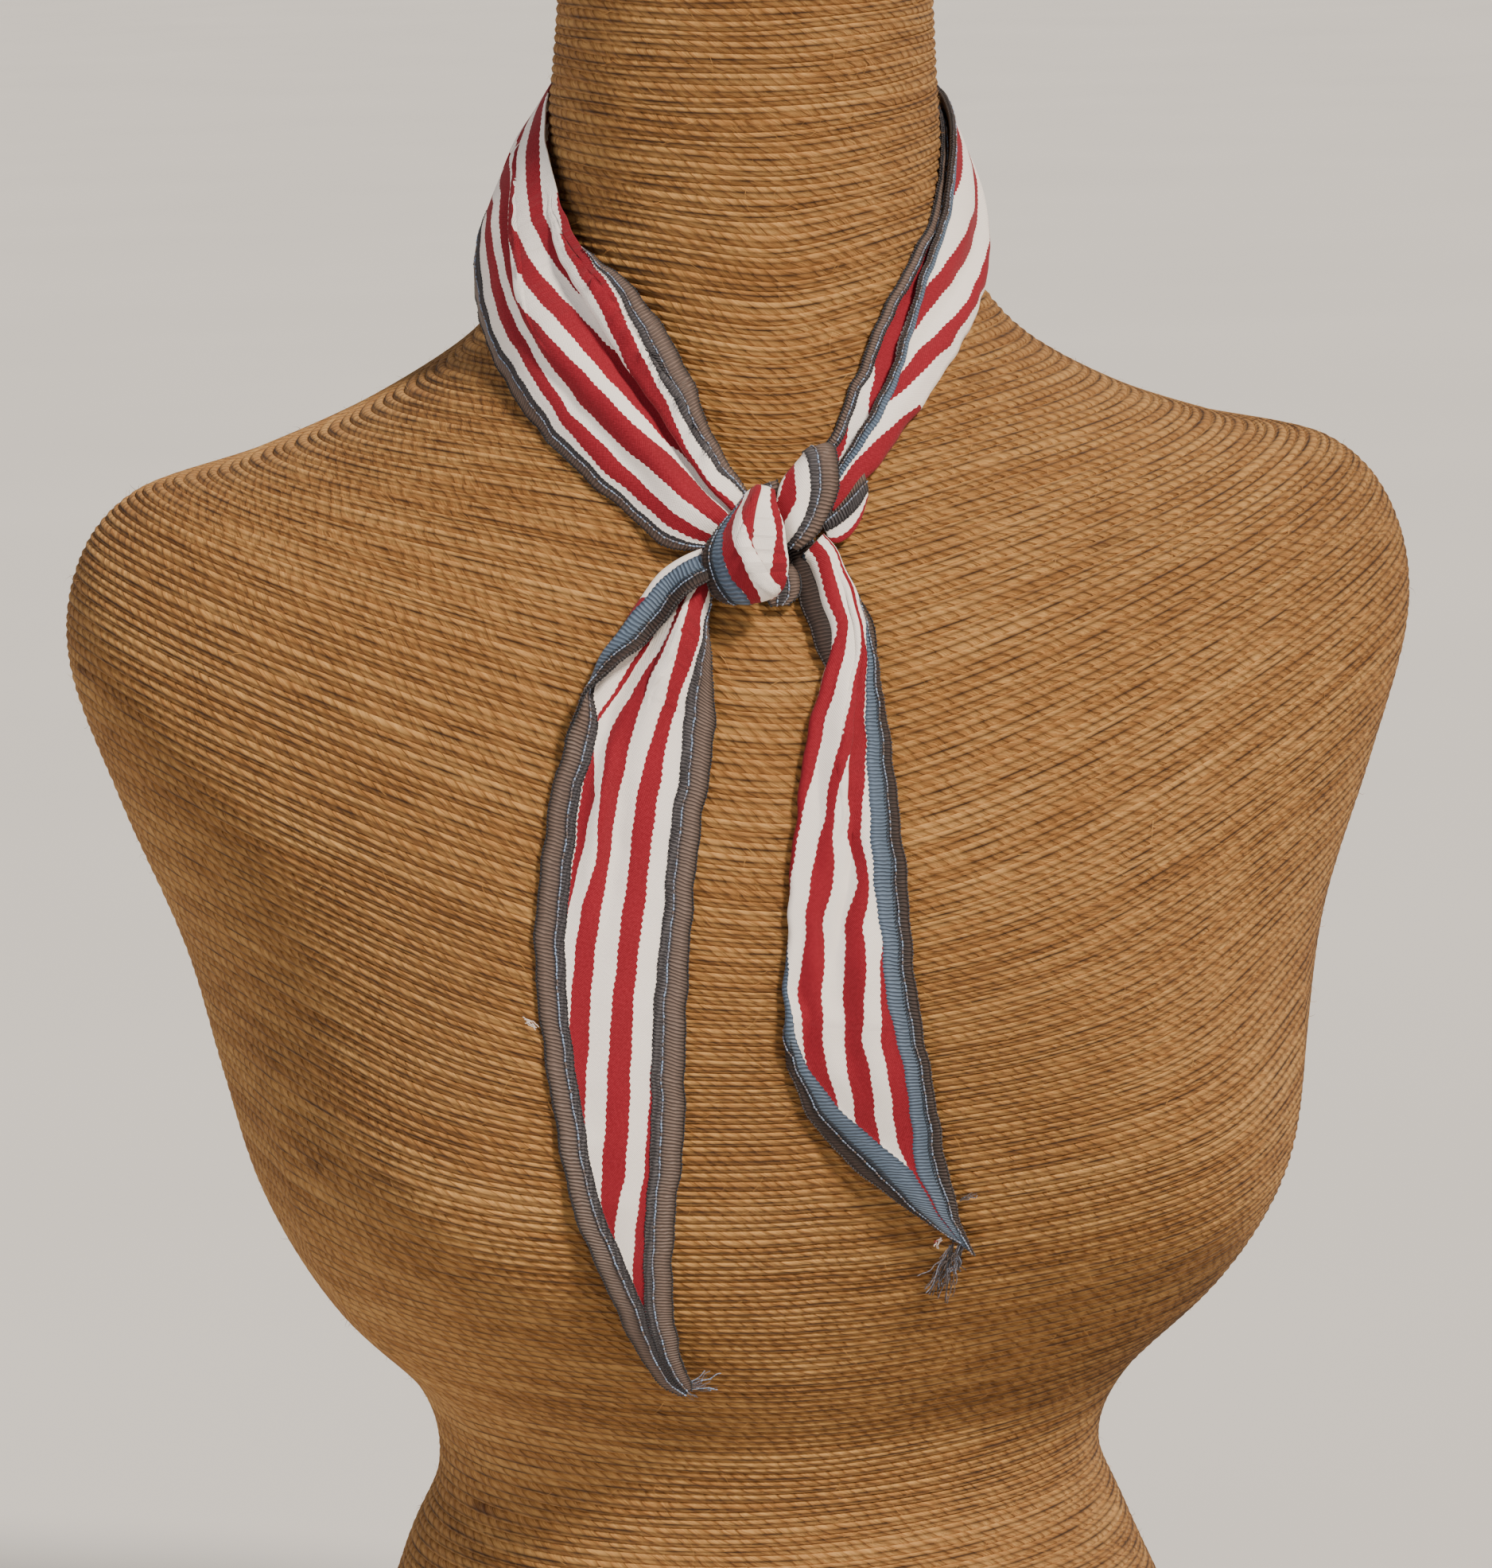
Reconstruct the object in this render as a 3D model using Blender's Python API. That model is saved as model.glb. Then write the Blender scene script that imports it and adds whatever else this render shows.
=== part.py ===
"""A neck scarf knotted round a limbless dress form. Sizes in the tables are millimetres.

+Z is up, the front faces -Y, and the origin is in the middle of the form's flat underside. The scarf is
one narrow strip of woven cotton with an overlocked edge all round. It lies round the neck, crosses in a
single knot on the chest, and its two pointed tails hang down the chest. Each stretch that shows is a
wall of its own, lofted through sections from one edge of the cloth to the other."""

import math

import bpy
import numpy as np
from mathutils import Vector
from mathutils.bvhtree import BVHTree

MM = 0.001
SHARP_ANGLE = math.radians(50)

# The cloth, in millimetres.
CLOTH_THICK = 1.3
EDGE_THICK = 1.7
EDGE_BAND = 8.5
FOLD_RADIUS = 1.5
REST_GAP = 0.6
PLEAT_WIDTH = 0.07
FOLD_FALL = 6
FLAT_STEPS = 2
TURN_STEPS = 4
LEAST_ANGLE = 0.01
LEAST_TURN = 0.06
LEAST_FLAT = 0.03

# The dress form: a row for each ring of its winding, from the neck down.
FORM_COLUMNS = ("lean", "wide", "middle", "front", "back", "z_front", "z_side", "z_back")
FORM_RINGS = (
    (5, 40, 2, -38, 42, 616, 616, 616),
    (5, 49, 2, -48, 54, 612, 613, 614),
    (5, 52, 2, -50, 57, 600, 602, 604),
    (5, 53, 3, -50, 59, 578, 581, 584),
    (4, 55, 5, -51, 63, 548, 553, 558),
    (4, 57, 8, -53, 68, 518, 526, 536),
    (3, 65, 11, -57, 75, 494, 504, 520),
    (2, 82, 13, -65, 82, 474, 484, 504),
    (1, 112, 14, -75, 91, 452, 467, 486),
    (0, 144, 13, -86, 98, 426, 456, 467),
    (0, 173, 11, -96, 103, 398, 449, 446),
    (0, 189, 9, -104, 106, 368, 431, 420),
    (0, 193, 7, -109, 107, 338, 403, 392),
    (0, 181, 4, -110, 106, 310, 364, 360),
    (0, 165, 1, -106, 102, 282, 322, 324),
    (0, 156, -1, -101, 97, 252, 286, 290),
    (0, 147, -3, -96, 90, 228, 254, 258),
    (0, 130, -4, -88, 82, 204, 222, 226),
    (0, 105, -2, -79, 75, 182, 191, 194),
    (-2, 97, 0, -76, 74, 160, 163, 165),
    (-3, 107, 2, -83, 80, 134, 136, 137),
    (-1, 129, 3, -98, 96, 78, 78, 78),
    (0, 144, 4, -109, 111, 24, 24, 24),
    (0, 146, 4, -110, 112, 5, 5, 5),
    (0, 142, 4, -106, 108, 0, 0, 0),
)
BUST_APEX = (84, 268)
BUST_RADIUS = 60
BUST_DEPTH = 30
BUST_SPREAD = 0.65
BUST_FADE = 40
FORM_AROUND = 56
AHEAD_OF_FORM = 400
FORM_ROWS = 44

# The colours of the finishes, as linear red, green and blue, and how rough they are.
ROPE = ((0.482, 0.287, 0.084), 0.85)
CLOTH_RED = ((0.451, 0.021, 0.042), 0.7)
CLOTH_WHITE = ((0.863, 0.791, 0.753), 0.7)
CLOTH_BLUE = ((0.107, 0.202, 0.287), 0.6)

# The loop round the neck: a row for each section, from the knot up the left, round the nape and down the
# right. The low edge is the one nearer the shoulder. Crown is how far the cloth stands proud between its edges, pleat is how
# deep its lengthwise fold is, and under is how much of it is folded beneath from the low edge.
NECK_COLUMNS = ("low_x", "low_y", "low_z", "high_x", "high_y", "high_z", "crown", "pleat", "under")
NECK_LOOP = (
    (-23, -84, 439, -11, -79, 452, 2, 0.5, 0),
    (-33, -83, 440, -15, -76, 460, 3, 1.5, 0),
    (-42, -75, 448, -19, -69, 469, 4, 2.5, 0),
    (-53, -66, 458, -22, -62, 481, 4, 3.0, 0),
    (-62, -54, 467, -28, -53, 495, 4, 3.0, 0),
    (-69, -40, 477, -36, -45, 507, 4, 3.0, 0),
    (-74, -15, 489, -46, -32, 516, 4, 3.0, 0),
    (-75, 8, 500, -53, -18, 526, 4, 2.5, 0),
    (-73, 22, 506, -57, 0, 538, 4, 2.0, 0),
    (-69, 34, 512, -58, 18, 548, 3, 1.5, 0),
    (-59, 50, 520, -52, 40, 557, 3, 1.5, 0),
    (-44, 64, 526, -40, 56, 563, 3, 1.0, 0),
    (-23, 76, 529, -21, 69, 566, 3, 1.0, 0),
    (0, 81, 531, 0, 72, 567, 3, 1.0, 0),
    (23, 78, 532, 22, 69, 566, 3, 1.0, 0),
    (43, 67, 534, 41, 57, 563, 3, 1.0, 4),
    (58, 52, 537, 53, 42, 560, 2, 0.5, 10),
    (67, 35, 537, 60, 24, 556, 2, 0, 16),
    (70, 24, 531, 62, 10, 551, 2, 0, 18),
    (72, 10, 519, 62, -4, 544, 2, 0, 19),
    (71, -2, 508, 60, -18, 534, 2, 0, 19),
    (67, -18, 500, 54, -30, 520, 2, 0, 19),
    (61, -35, 492, 43, -44, 508, 2, 0, 19),
    (53, -48, 484, 33, -54, 496, 2, 0, 19),
    (43, -60, 474, 27, -61, 485, 2, 0, 18),
    (31, -71, 463, 20, -67, 474, 2, 0, 15),
    (24, -76, 456, 14.5, -72, 465, 1, 0, 11),
    (18, -79, 451, 11, -76, 459, 1, 0, 8),
)
NAPE_STARTS, NAPE_ENDS = 9, 17

# The neck stretches face away from a point on the neck's axis this far below their low edge.
NECK_AXIS = (0, 10)
NECK_TILT = 60
SEAM_TRIM = 0.012
SLOPE_STEP = 0.4

# A tail: a row for each section, from the knot down. The height off the form is taken from the form.
TAIL_COLUMNS = ("left_x", "left_z", "right_x", "right_z", "lift", "crown", "pleat", "under")
TAIL_LEFT = (
    (-24, 438, -23, 426, 2.0, 2, 1.5, 0),
    (-31, 436, -24, 420, 2.0, 3, 2.5, 0),
    (-36, 432, -24, 414, 1.5, 3, 3.0, 0),
    (-43, 424, -24, 406, 1.0, 3, 3.5, 0),
    (-53, 411, -24, 395, 0.5, 3, 3.0, 0),
    (-61, 397, -26, 383, 0.2, 3, 2.5, 0),
    (-68, 380, -30, 366, 0, 3, 2.0, 0),
    (-72, 363, -33, 349, 0, 2, 1.5, 0),
    (-76, 340, -36, 327, 0, 2, 1.0, 0),
    (-76, 318, -38, 306, 0, 2, 0.5, 0),
    (-74, 295, -39, 286, 0.5, 1, 0, 0),
    (-70, 269, -42, 264, 0.8, 1, 0, 0),
    (-62, 247, -43, 242, 2, 1, 0, 0),
    (-53, 225, -41, 224, 4, 1, 0, 0),
    (-46, 213, -38, 214, 5, 0.5, 0, 0),
    (-40, 208, -37, 210, 6, 0, 0, 0),
)
TAIL_RIGHT = (
    (3, 436, 9, 441, 2.5, 1, 0, 7),
    (5, 433, 13, 436, 2.0, 1, 0, 8),
    (6.5, 428, 15.5, 429, 1.5, 1, 0, 10),
    (8, 420, 18, 421, 1.0, 1, 0, 12),
    (9.5, 413, 20, 413, 0.5, 1, 0, 13),
    (6, 404, 21, 404, 0.5, 1.5, 1.0, 14),
    (0, 387, 23, 386, 0, 2, 1.5, 14),
    (-4, 367, 24, 366, 0, 2, 1.5, 13),
    (-7, 351, 25, 349, 0, 2, 1.2, 11),
    (-8, 337, 25, 333, 0, 2, 1.0, 9),
    (-10, 322, 26, 317, 0, 1.5, 1.0, 6),
    (-10, 305, 28, 302, 0, 1.5, 1.0, 3),
    (-5, 289, 30, 289, 0, 1, 0.5, 1),
    (5, 275, 32, 275, 0, 1, 0, 0),
    (16, 265, 35, 261, 1, 1, 0, 0),
    (25, 258, 37, 253, 1.5, 0.5, 0, 0),
    (34, 251, 40, 246, 2, 0, 0, 0),
)

# The knot, in its own frame: across, up the chest and out from it, from the middle of the knot.
KNOT_MIDDLE = (-4.3, -81, 443)
KNOT_SLOPE = math.radians(23)
KNOT_COLUMNS = ("left_u", "left_v", "left_w", "right_u", "right_v", "right_w", "crown", "pleat")
KNOT_WRAP = (
    (-5, 8.5, 5.5, 0, 9, 5.5, 1, 0),
    (-7.5, 7.5, 8.5, 0, 7.5, 9, 1.5, 0),
    (-11.5, 2.5, 9, 0.5, 2, 12, 2.5, 0.5),
    (-16, -1.5, 7.5, 1, -4, 13, 3.5, 1),
    (-20, -7, 6, 1.5, -10, 13, 4, 1),
    (-20.5, -13, 5, 1.5, -15, 12, 4, 1),
    (-18.5, -18, 4, 0.5, -18.5, 10, 3, 0.5),
    (-15, -20.5, 3, -2, -20.5, 7, 2, 0),
    (-13, -20.5, 2, -3, -20.8, 5, 1, 0),
)
KNOT_LOBE = (
    (9, 17.5, 3.5, 17, 22, 3, 1, 0),
    (7, 16, 7, 18, 19.5, 6, 2, 0),
    (4, 13, 9, 18.5, 14.5, 7.5, 3, 0),
    (1.5, 8.5, 9, 17.5, 8.5, 7.5, 3, 0),
    (0, 3.5, 8.5, 15, 2, 7.5, 2.5, 0),
    (0.5, -2, 8, 10.5, -4.5, 7, 2, 0),
    (1.5, -6, 7, 5.5, -8, 6, 0.5, 0),
)
KNOT_BACK = (
    (-4, 11.5, 0.5, 2, 13, 1, 1, 0),
    (-5, 7, -0.5, 3.5, 8, 0, 1, 0),
    (-5, 0, -1.5, 4, 0, -1.5, 1, 0),
    (-5, -8, -1.5, 5, -9, -1, 1, 0),
    (-4, -15, -0.5, 6.5, -15, 0.5, 1, 0),
    (-3, -19.5, 0, 5.5, -19, 0.8, 0.5, 0),
    (-2, -21.5, 0, 2, -21.5, 0.5, 0.3, 0),
)
KNOT_STUB = (
    (15.5, -4, 0, 15.5, 1.5, 0, 0.5, 0),
    (17.5, -5, 0, 18, 3, 0, 1, 0),
    (20.5, -4, 0, 20.8, 4, 0, 1, 0),
    (24, 0, 0, 23.8, 6.5, 0, 1, 0),
    (27, 5.5, 0, 26.8, 9.5, 0, 0.5, 0),
)


def smooth_rows(rows, share):
    """The rows' values at a share of the way down a table, on a smooth curve through its rows."""
    rows = np.asarray(rows, float)
    spot = min(max(share, 0), 1) * (len(rows) - 1)
    i = min(int(spot), len(rows) - 2)
    f = spot - i
    a, b = rows[i], rows[i + 1]
    before = rows[i - 1] if i > 0 else 2 * a - b
    after = rows[i + 2] if i + 2 < len(rows) else 2 * b - a
    return a + 0.5 * f * (b - before + f * (2 * before - 5 * a + 4 * b - after
                                            + f * (3 * (a - b) + after - before)))


def named(columns, row):
    """A row's values by the names of its table's columns."""
    return dict(zip(columns, row))


def form_ring(share, around):
    """The points of one ring of the form."""
    ring = named(FORM_COLUMNS, smooth_rows(FORM_RINGS, share))
    points = []
    for k in range(around):
        angle = 2 * math.pi * k / around
        side, depth = math.cos(angle), math.sin(angle)
        reach = ring["back"] - ring["middle"] if depth > 0 else ring["middle"] - ring["front"]
        z_end = ring["z_back"] if depth > 0 else ring["z_front"]
        x = ring["lean"] + ring["wide"] * side
        y = ring["middle"] + reach * depth
        z = ring["z_side"] + (z_end - ring["z_side"]) * depth * depth
        if depth < 0:
            off = math.hypot(abs(x) - BUST_APEX[0], z - BUST_APEX[1]) / BUST_RADIUS
            swell = BUST_DEPTH * math.exp(-off * off) * min(1, -2 * depth)
            x += math.copysign(BUST_SPREAD * swell * min(1, abs(x) / BUST_FADE), x)
            y -= swell
        points.append(Vector((x, y, z)))
    return points


def lofted(rings):
    """Points and faces of a closed body through rings of equal count, with flat ends."""
    count = len(rings[0])
    points = [p for ring in rings for p in ring]
    faces = []
    for r in range(len(rings) - 1):
        for k in range(count):
            n = (k + 1) % count
            faces.append((r * count + k, (r + 1) * count + k, (r + 1) * count + n, r * count + n))
    faces.append(tuple(range(count)))
    faces.append(tuple(range((len(rings) - 1) * count, len(rings) * count))[::-1])
    return points, faces


def cleared(tree, point, reach):
    """The point, moved off the form where it lies nearer than reach."""
    spot, normal, _, far = tree.find_nearest(point)
    if (point - spot).dot(normal) < 0:
        far = -far
    return point if far >= reach else spot + normal * reach


def front_of(tree, x, z):
    """The point of the form's front at a place across and a height."""
    return tree.ray_cast(Vector((x, -AHEAD_OF_FORM, z)), Vector((0, 1, 0)))[0]


def thickness(along, whole):
    """The cloth's thickness at a way along its width: thicker where the edges are overlocked."""
    edge = min(along, whole - along)
    return EDGE_THICK if edge < EDGE_BAND else CLOTH_THICK


def across_places(shown, under, count):
    """Places across a section: how far across, how far below the top layer, and the way along the cloth.

    They go from the edge that is folded under, round the fold and over to the high edge."""
    turn = min(max(under / FOLD_RADIUS, LEAST_ANGLE), math.pi)
    arc = max(turn * FOLD_RADIUS, LEAST_TURN * shown)
    flat = max(under - math.pi * FOLD_RADIUS, LEAST_FLAT * shown)
    bend = arc / turn
    start = bend * math.sin(min(turn, math.pi / 2)) + flat * max(math.cos(turn), 0)
    whole = flat + arc + shown - start
    places = []
    for k in range(count):
        if k < FLAT_STEPS:
            along = flat * k / FLAT_STEPS
            past = flat - along
            u = start - bend * math.sin(turn) - past * math.cos(turn)
            below = bend * (1 - math.cos(turn)) + past * math.sin(turn)
        elif k < FLAT_STEPS + TURN_STEPS:
            angle = turn * (1 - (k - FLAT_STEPS) / TURN_STEPS)
            along = flat + arc * (k - FLAT_STEPS) / TURN_STEPS
            u = start - bend * math.sin(angle)
            below = bend * (1 - math.cos(angle))
        else:
            first = FLAT_STEPS + TURN_STEPS
            u = start + (shown - start) * (k - first) / (count - 1 - first)
            along = flat + arc + u - start
            below = 0
        places.append((u, below, along, whole))
    return places


def cloth_rows(tree, edges, count, pleat_at):
    """The middle points of a wall and its thickness there, a row for each section."""
    folded = any(edge["under"] > 0 for edge in edges)
    rows, thick = [], []
    for edge in edges:
        across = edge["high"] - edge["low"]
        shown = across.length
        across.normalize()
        out = across.cross(edge["ahead"]).normalized()
        if out.dot(edge["outward"]) < 0:
            out.negate()
        under = max(edge["under"], 0)
        places = [(shown * k / (count - 1), 0, shown * k / (count - 1), shown) for k in range(count)]
        if folded:
            places = across_places(shown, under, count)
        doubled = max(below for _, below, _, _ in places)
        row, walls = [], []
        for u, below, along, whole in places:
            wall = thickness(along, whole)
            share = min(max(u / shown, 0), 1)
            pleat = edge["pleat"] * math.exp(-((share - pleat_at) / PLEAT_WIDTH) ** 2)
            rise = edge["crown"] * math.sin(math.pi * share) - pleat
            past = min(max((u - under) / FOLD_FALL, 0), 1)
            reach = REST_GAP + wall / 2 + doubled * (1 - past * past * (3 - 2 * past))
            on_top = cleared(tree, edge["low"] + across * u + out * rise, reach)
            row.append(cleared(tree, on_top - out * below, REST_GAP + wall / 2))
            walls.append(wall)
        rows.append(row)
        thick.append(walls)
    return rows, thick


def wall_mesh(rows, thick):
    """Points and faces of a closed wall round rows of middle points."""
    long, wide = len(rows), len(rows[0])
    sides = ([], [])
    for i in range(long):
        for k in range(wide):
            down = rows[min(i + 1, long - 1)][k] - rows[max(i - 1, 0)][k]
            over = rows[i][min(k + 1, wide - 1)] - rows[i][max(k - 1, 0)]
            normal = over.cross(down).normalized()
            sides[0].append(rows[i][k] + normal * thick[i][k] / 2)
            sides[1].append(rows[i][k] - normal * thick[i][k] / 2)
    points = sides[0] + sides[1]
    base = long * wide
    faces = []
    for i in range(long - 1):
        for k in range(wide - 1):
            a, b = i * wide + k, (i + 1) * wide + k
            faces.append((a, a + 1, b + 1, b))
            faces.append((base + a, base + b, base + b + 1, base + a + 1))
    for i in range(long - 1):
        a, b = i * wide, (i + 1) * wide
        faces.append((a, b, base + b, base + a))
        a, b = a + wide - 1, b + wide - 1
        faces.append((a, base + a, base + b, b))
    for k in range(wide - 1):
        faces.append((k, base + k, base + k + 1, k + 1))
        a = base - wide + k
        faces.append((a, a + 1, base + a + 1, base + a))
    return points, faces


def neck_edge(_tree, values):
    """Both edges of the loop round the neck at one section."""
    row = named(NECK_COLUMNS, values)
    low = Vector((row["low_x"], row["low_y"], row["low_z"]))
    high = Vector((row["high_x"], row["high_y"], row["high_z"]))
    outward = (low + high) / 2 - Vector((*NECK_AXIS, row["low_z"] - NECK_TILT))
    return row | {"low": low, "high": high, "outward": outward}


def tail_edge(tree, values):
    """Both edges of a tail at one section, at its lift off the form's front."""
    row = named(TAIL_COLUMNS, values)
    lift = Vector((0, -row["lift"] - REST_GAP - CLOTH_THICK / 2, 0))
    low = front_of(tree, row["left_x"], row["left_z"]) + lift
    high = front_of(tree, row["right_x"], row["right_z"]) + lift
    return row | {"low": low, "high": high, "outward": Vector((0, -1, 0))}


def knot_edge(_tree, values):
    """Both edges of a piece of the knot at one section, from the knot's own frame."""
    up = Vector((0, math.sin(KNOT_SLOPE), math.cos(KNOT_SLOPE)))
    out = Vector((0, -math.cos(KNOT_SLOPE), math.sin(KNOT_SLOPE)))
    row = named(KNOT_COLUMNS, values)
    low, high = (Vector(KNOT_MIDDLE) + Vector((row[side + "_u"], 0, 0)) + up * row[side + "_v"]
                 + out * row[side + "_w"] for side in ("left", "right"))
    return row | {"low": low, "high": high, "outward": out, "under": 0}


def edges_along(tree, edge_of, table, first, last, sections):
    """Both edges at each section from one row of a table to another, kept back from a seam there."""
    edges = []
    whole = len(table) - 1
    for i in range(sections):
        kept = first + (last - first) * i / (sections - 1)
        if kept == first > 0 or kept == last < whole:
            kept += SEAM_TRIM if kept == first else -SEAM_TRIM
        edge = edge_of(tree, smooth_rows(table, kept / whole))
        before = edge_of(tree, smooth_rows(table, (kept - SLOPE_STEP) / whole))
        after = edge_of(tree, smooth_rows(table, (kept + SLOPE_STEP) / whole))
        edge["ahead"] = (after["low"] + after["high"] - before["low"] - before["high"]).normalized()
        edges.append(edge)
    return edges


def finish(name, colour, roughness):
    """A plain finish of one colour."""
    material = bpy.data.materials.new(name)
    material.use_nodes = True
    shader = material.node_tree.nodes["Principled BSDF"]
    shader.inputs["Base Color"].default_value = (*colour, 1)
    shader.inputs["Roughness"].default_value = roughness
    shader.inputs["Metallic"].default_value = 0
    return material


def mesh_object(name, points, faces, look, group):
    """An object from points in millimetres, with its own finish, in the scarf's collection."""
    mesh = bpy.data.meshes.new(name)
    mesh.from_pydata([p * MM for p in points], [], faces)
    mesh.update()
    mesh.shade_smooth()
    mesh.set_sharp_from_angle(angle=SHARP_ANGLE)
    mesh.materials.append(finish(name, *look))
    made = bpy.data.objects.new(name, mesh)
    group.objects.link(made)


# Each stretch: how its edges are found, its table, the rows it runs between, its sections and the points
# across each, where its pleat lies across it, and its finish.
STRETCHES = (
    ("neck_left", neck_edge, NECK_LOOP, 0, NAPE_STARTS, 19, 11, 0.62, CLOTH_RED),
    ("nape", neck_edge, NECK_LOOP, NAPE_STARTS, NAPE_ENDS, 17, 15, 0.62, CLOTH_WHITE),
    ("neck_right", neck_edge, NECK_LOOP, NAPE_ENDS, len(NECK_LOOP) - 1, 19, 15, 0.62, CLOTH_RED),
    ("tail_left", tail_edge, TAIL_LEFT, 0, len(TAIL_LEFT) - 1, 31, 11, 0.4, CLOTH_WHITE),
    ("tail_right", tail_edge, TAIL_RIGHT, 0, len(TAIL_RIGHT) - 1, 31, 15, 0.5, CLOTH_RED),
    ("knot_wrap", knot_edge, KNOT_WRAP, 0, len(KNOT_WRAP) - 1, 17, 9, 0.6, CLOTH_WHITE),
    ("knot_lobe", knot_edge, KNOT_LOBE, 0, len(KNOT_LOBE) - 1, 13, 7, 0.5, CLOTH_RED),
    ("knot_back", knot_edge, KNOT_BACK, 0, len(KNOT_BACK) - 1, 9, 5, 0.5, CLOTH_BLUE),
    ("knot_stub", knot_edge, KNOT_STUB, 0, len(KNOT_STUB) - 1, 6, 5, 0.5, CLOTH_BLUE),
)


def main():
    for old in list(bpy.data.objects):
        bpy.data.objects.remove(old)
    group = bpy.data.collections.new("neck_scarf_on_form")
    bpy.context.scene.collection.children.link(group)
    rings = [form_ring(r / (FORM_ROWS - 1), FORM_AROUND) for r in range(FORM_ROWS)]
    points, faces = lofted(rings)
    mesh_object("dress_form", points, faces, ROPE, group)
    tree = BVHTree.FromPolygons(points, faces)
    for name, edge_of, table, first, last, sections, count, pleat_at, look in STRETCHES:
        edges = edges_along(tree, edge_of, table, first, last, sections)
        mesh_object(name, *wall_mesh(*cloth_rows(tree, edges, count, pleat_at)), look, group)


main()
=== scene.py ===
"""The looks of a knotted neck scarf on a rope-wound dress form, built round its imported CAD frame.

Sizes are millimetres. +Z is up and the front faces -Y, as in the frame. Each stretch of cloth is a thin
shell through sections from one edge of the cloth to the other. Its stripes and overlocked bands follow marks
laid on those sections, and its stitches are small rods along them."""

from __future__ import annotations

import logging
import math
from dataclasses import dataclass, field
from enum import Enum

import bpy
import numpy as np
from mathutils import Matrix, Vector
from mathutils.bvhtree import BVHTree

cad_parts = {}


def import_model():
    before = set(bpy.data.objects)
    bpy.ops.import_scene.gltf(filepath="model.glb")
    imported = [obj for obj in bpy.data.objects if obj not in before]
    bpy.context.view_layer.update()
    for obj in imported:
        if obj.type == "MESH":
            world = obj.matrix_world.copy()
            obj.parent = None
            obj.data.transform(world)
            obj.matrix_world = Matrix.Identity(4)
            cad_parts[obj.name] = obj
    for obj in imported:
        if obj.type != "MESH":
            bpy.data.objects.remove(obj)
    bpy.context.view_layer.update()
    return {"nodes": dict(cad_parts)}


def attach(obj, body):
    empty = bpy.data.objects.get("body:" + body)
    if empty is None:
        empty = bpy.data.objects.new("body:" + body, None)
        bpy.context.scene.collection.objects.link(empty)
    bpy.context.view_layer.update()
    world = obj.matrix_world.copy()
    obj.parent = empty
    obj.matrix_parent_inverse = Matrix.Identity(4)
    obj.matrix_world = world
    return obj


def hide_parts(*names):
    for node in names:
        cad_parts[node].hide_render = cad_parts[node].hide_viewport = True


MM = 0.001
LOG = logging.getLogger("neck_scarf")
AHEAD_OF_FORM = 400
SLOPE_STEP = 0.4
# The overlocked band's width, a red and a white stripe together, and the way from stitch to stitch.
BAND = 8.5
STRIPE_PAIR = 11.4
STITCH = 0.92
OFF_BAND = 99.0
FLAP_POINTS = 22


def linear(hex_colour: str) -> tuple[float, float, float, float]:
    """Turn an sRGB hex colour to linear.

    Args:
        hex_colour: the colour, such as "#B3283A".

    Returns:
        Linear red, green, blue and an alpha of 1.
    """
    shares = [int(hex_colour[i:i + 2], 16) / 255 for i in (1, 3, 5)]
    return (*(c / 12.92 if c <= 0.04045 else ((c + 0.055) / 1.055) ** 2.4 for c in shares), 1.0)


@dataclass(frozen=True)
class Table:
    """Rows of named values along a piece, with a smooth curve through them."""

    columns: str
    rows: tuple[tuple[float, ...], ...]

    @property
    def names(self) -> list[str]:
        """The columns' names, one by one."""
        return self.columns.split()

    def smooth(self, spots: np.ndarray) -> dict[str, np.ndarray]:
        """Find the values at places between rows.

        Args:
            spots: row numbers, whole or between.

        Returns:
            An array of values for each column's name.
        """
        rows = np.asarray(self.rows, float)
        spots = np.clip(np.asarray(spots, float), 0, len(rows) - 1)
        i = np.minimum(spots.astype(int), len(rows) - 2)
        f = (spots - i)[..., None]
        padded = np.vstack([2 * rows[0] - rows[1], rows, 2 * rows[-1] - rows[-2]])
        before, a, b, after = padded[i], padded[i + 1], padded[i + 2], padded[i + 3]
        bend = 2 * before - 5 * a + 4 * b - after + f * (3 * (a - b) + after - before)
        values = a + 0.5 * f * (b - before + f * bend)
        return {name: values[..., k] for k, name in enumerate(self.names)}

    def straight(self, spots: np.ndarray) -> dict[str, np.ndarray]:
        """Find values by straight lines between rows whose first column is their place.

        Args:
            spots: places in the first column's own measure.

        Returns:
            An array of values for each column's name.
        """
        rows = np.asarray(self.rows, float)
        return {name: np.interp(spots, rows[:, 0], rows[:, k]) for k, name in enumerate(self.names)}


# The columns of tables for the tails, the knot and the folded edges.
HANGING = "left_x left_z right_x right_z lift crown"
KNOTTED = "left_u left_v left_w right_u right_v right_w crown"
FOLDED = "row angle length bend"
NOT_STRIPES = ("row", "low", "high", "top", "under")


class Face(Enum):
    """The side of the cloth that faces away from the form."""

    FRONT = 0.0
    REVERSE = 1.0


# Materials


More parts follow.
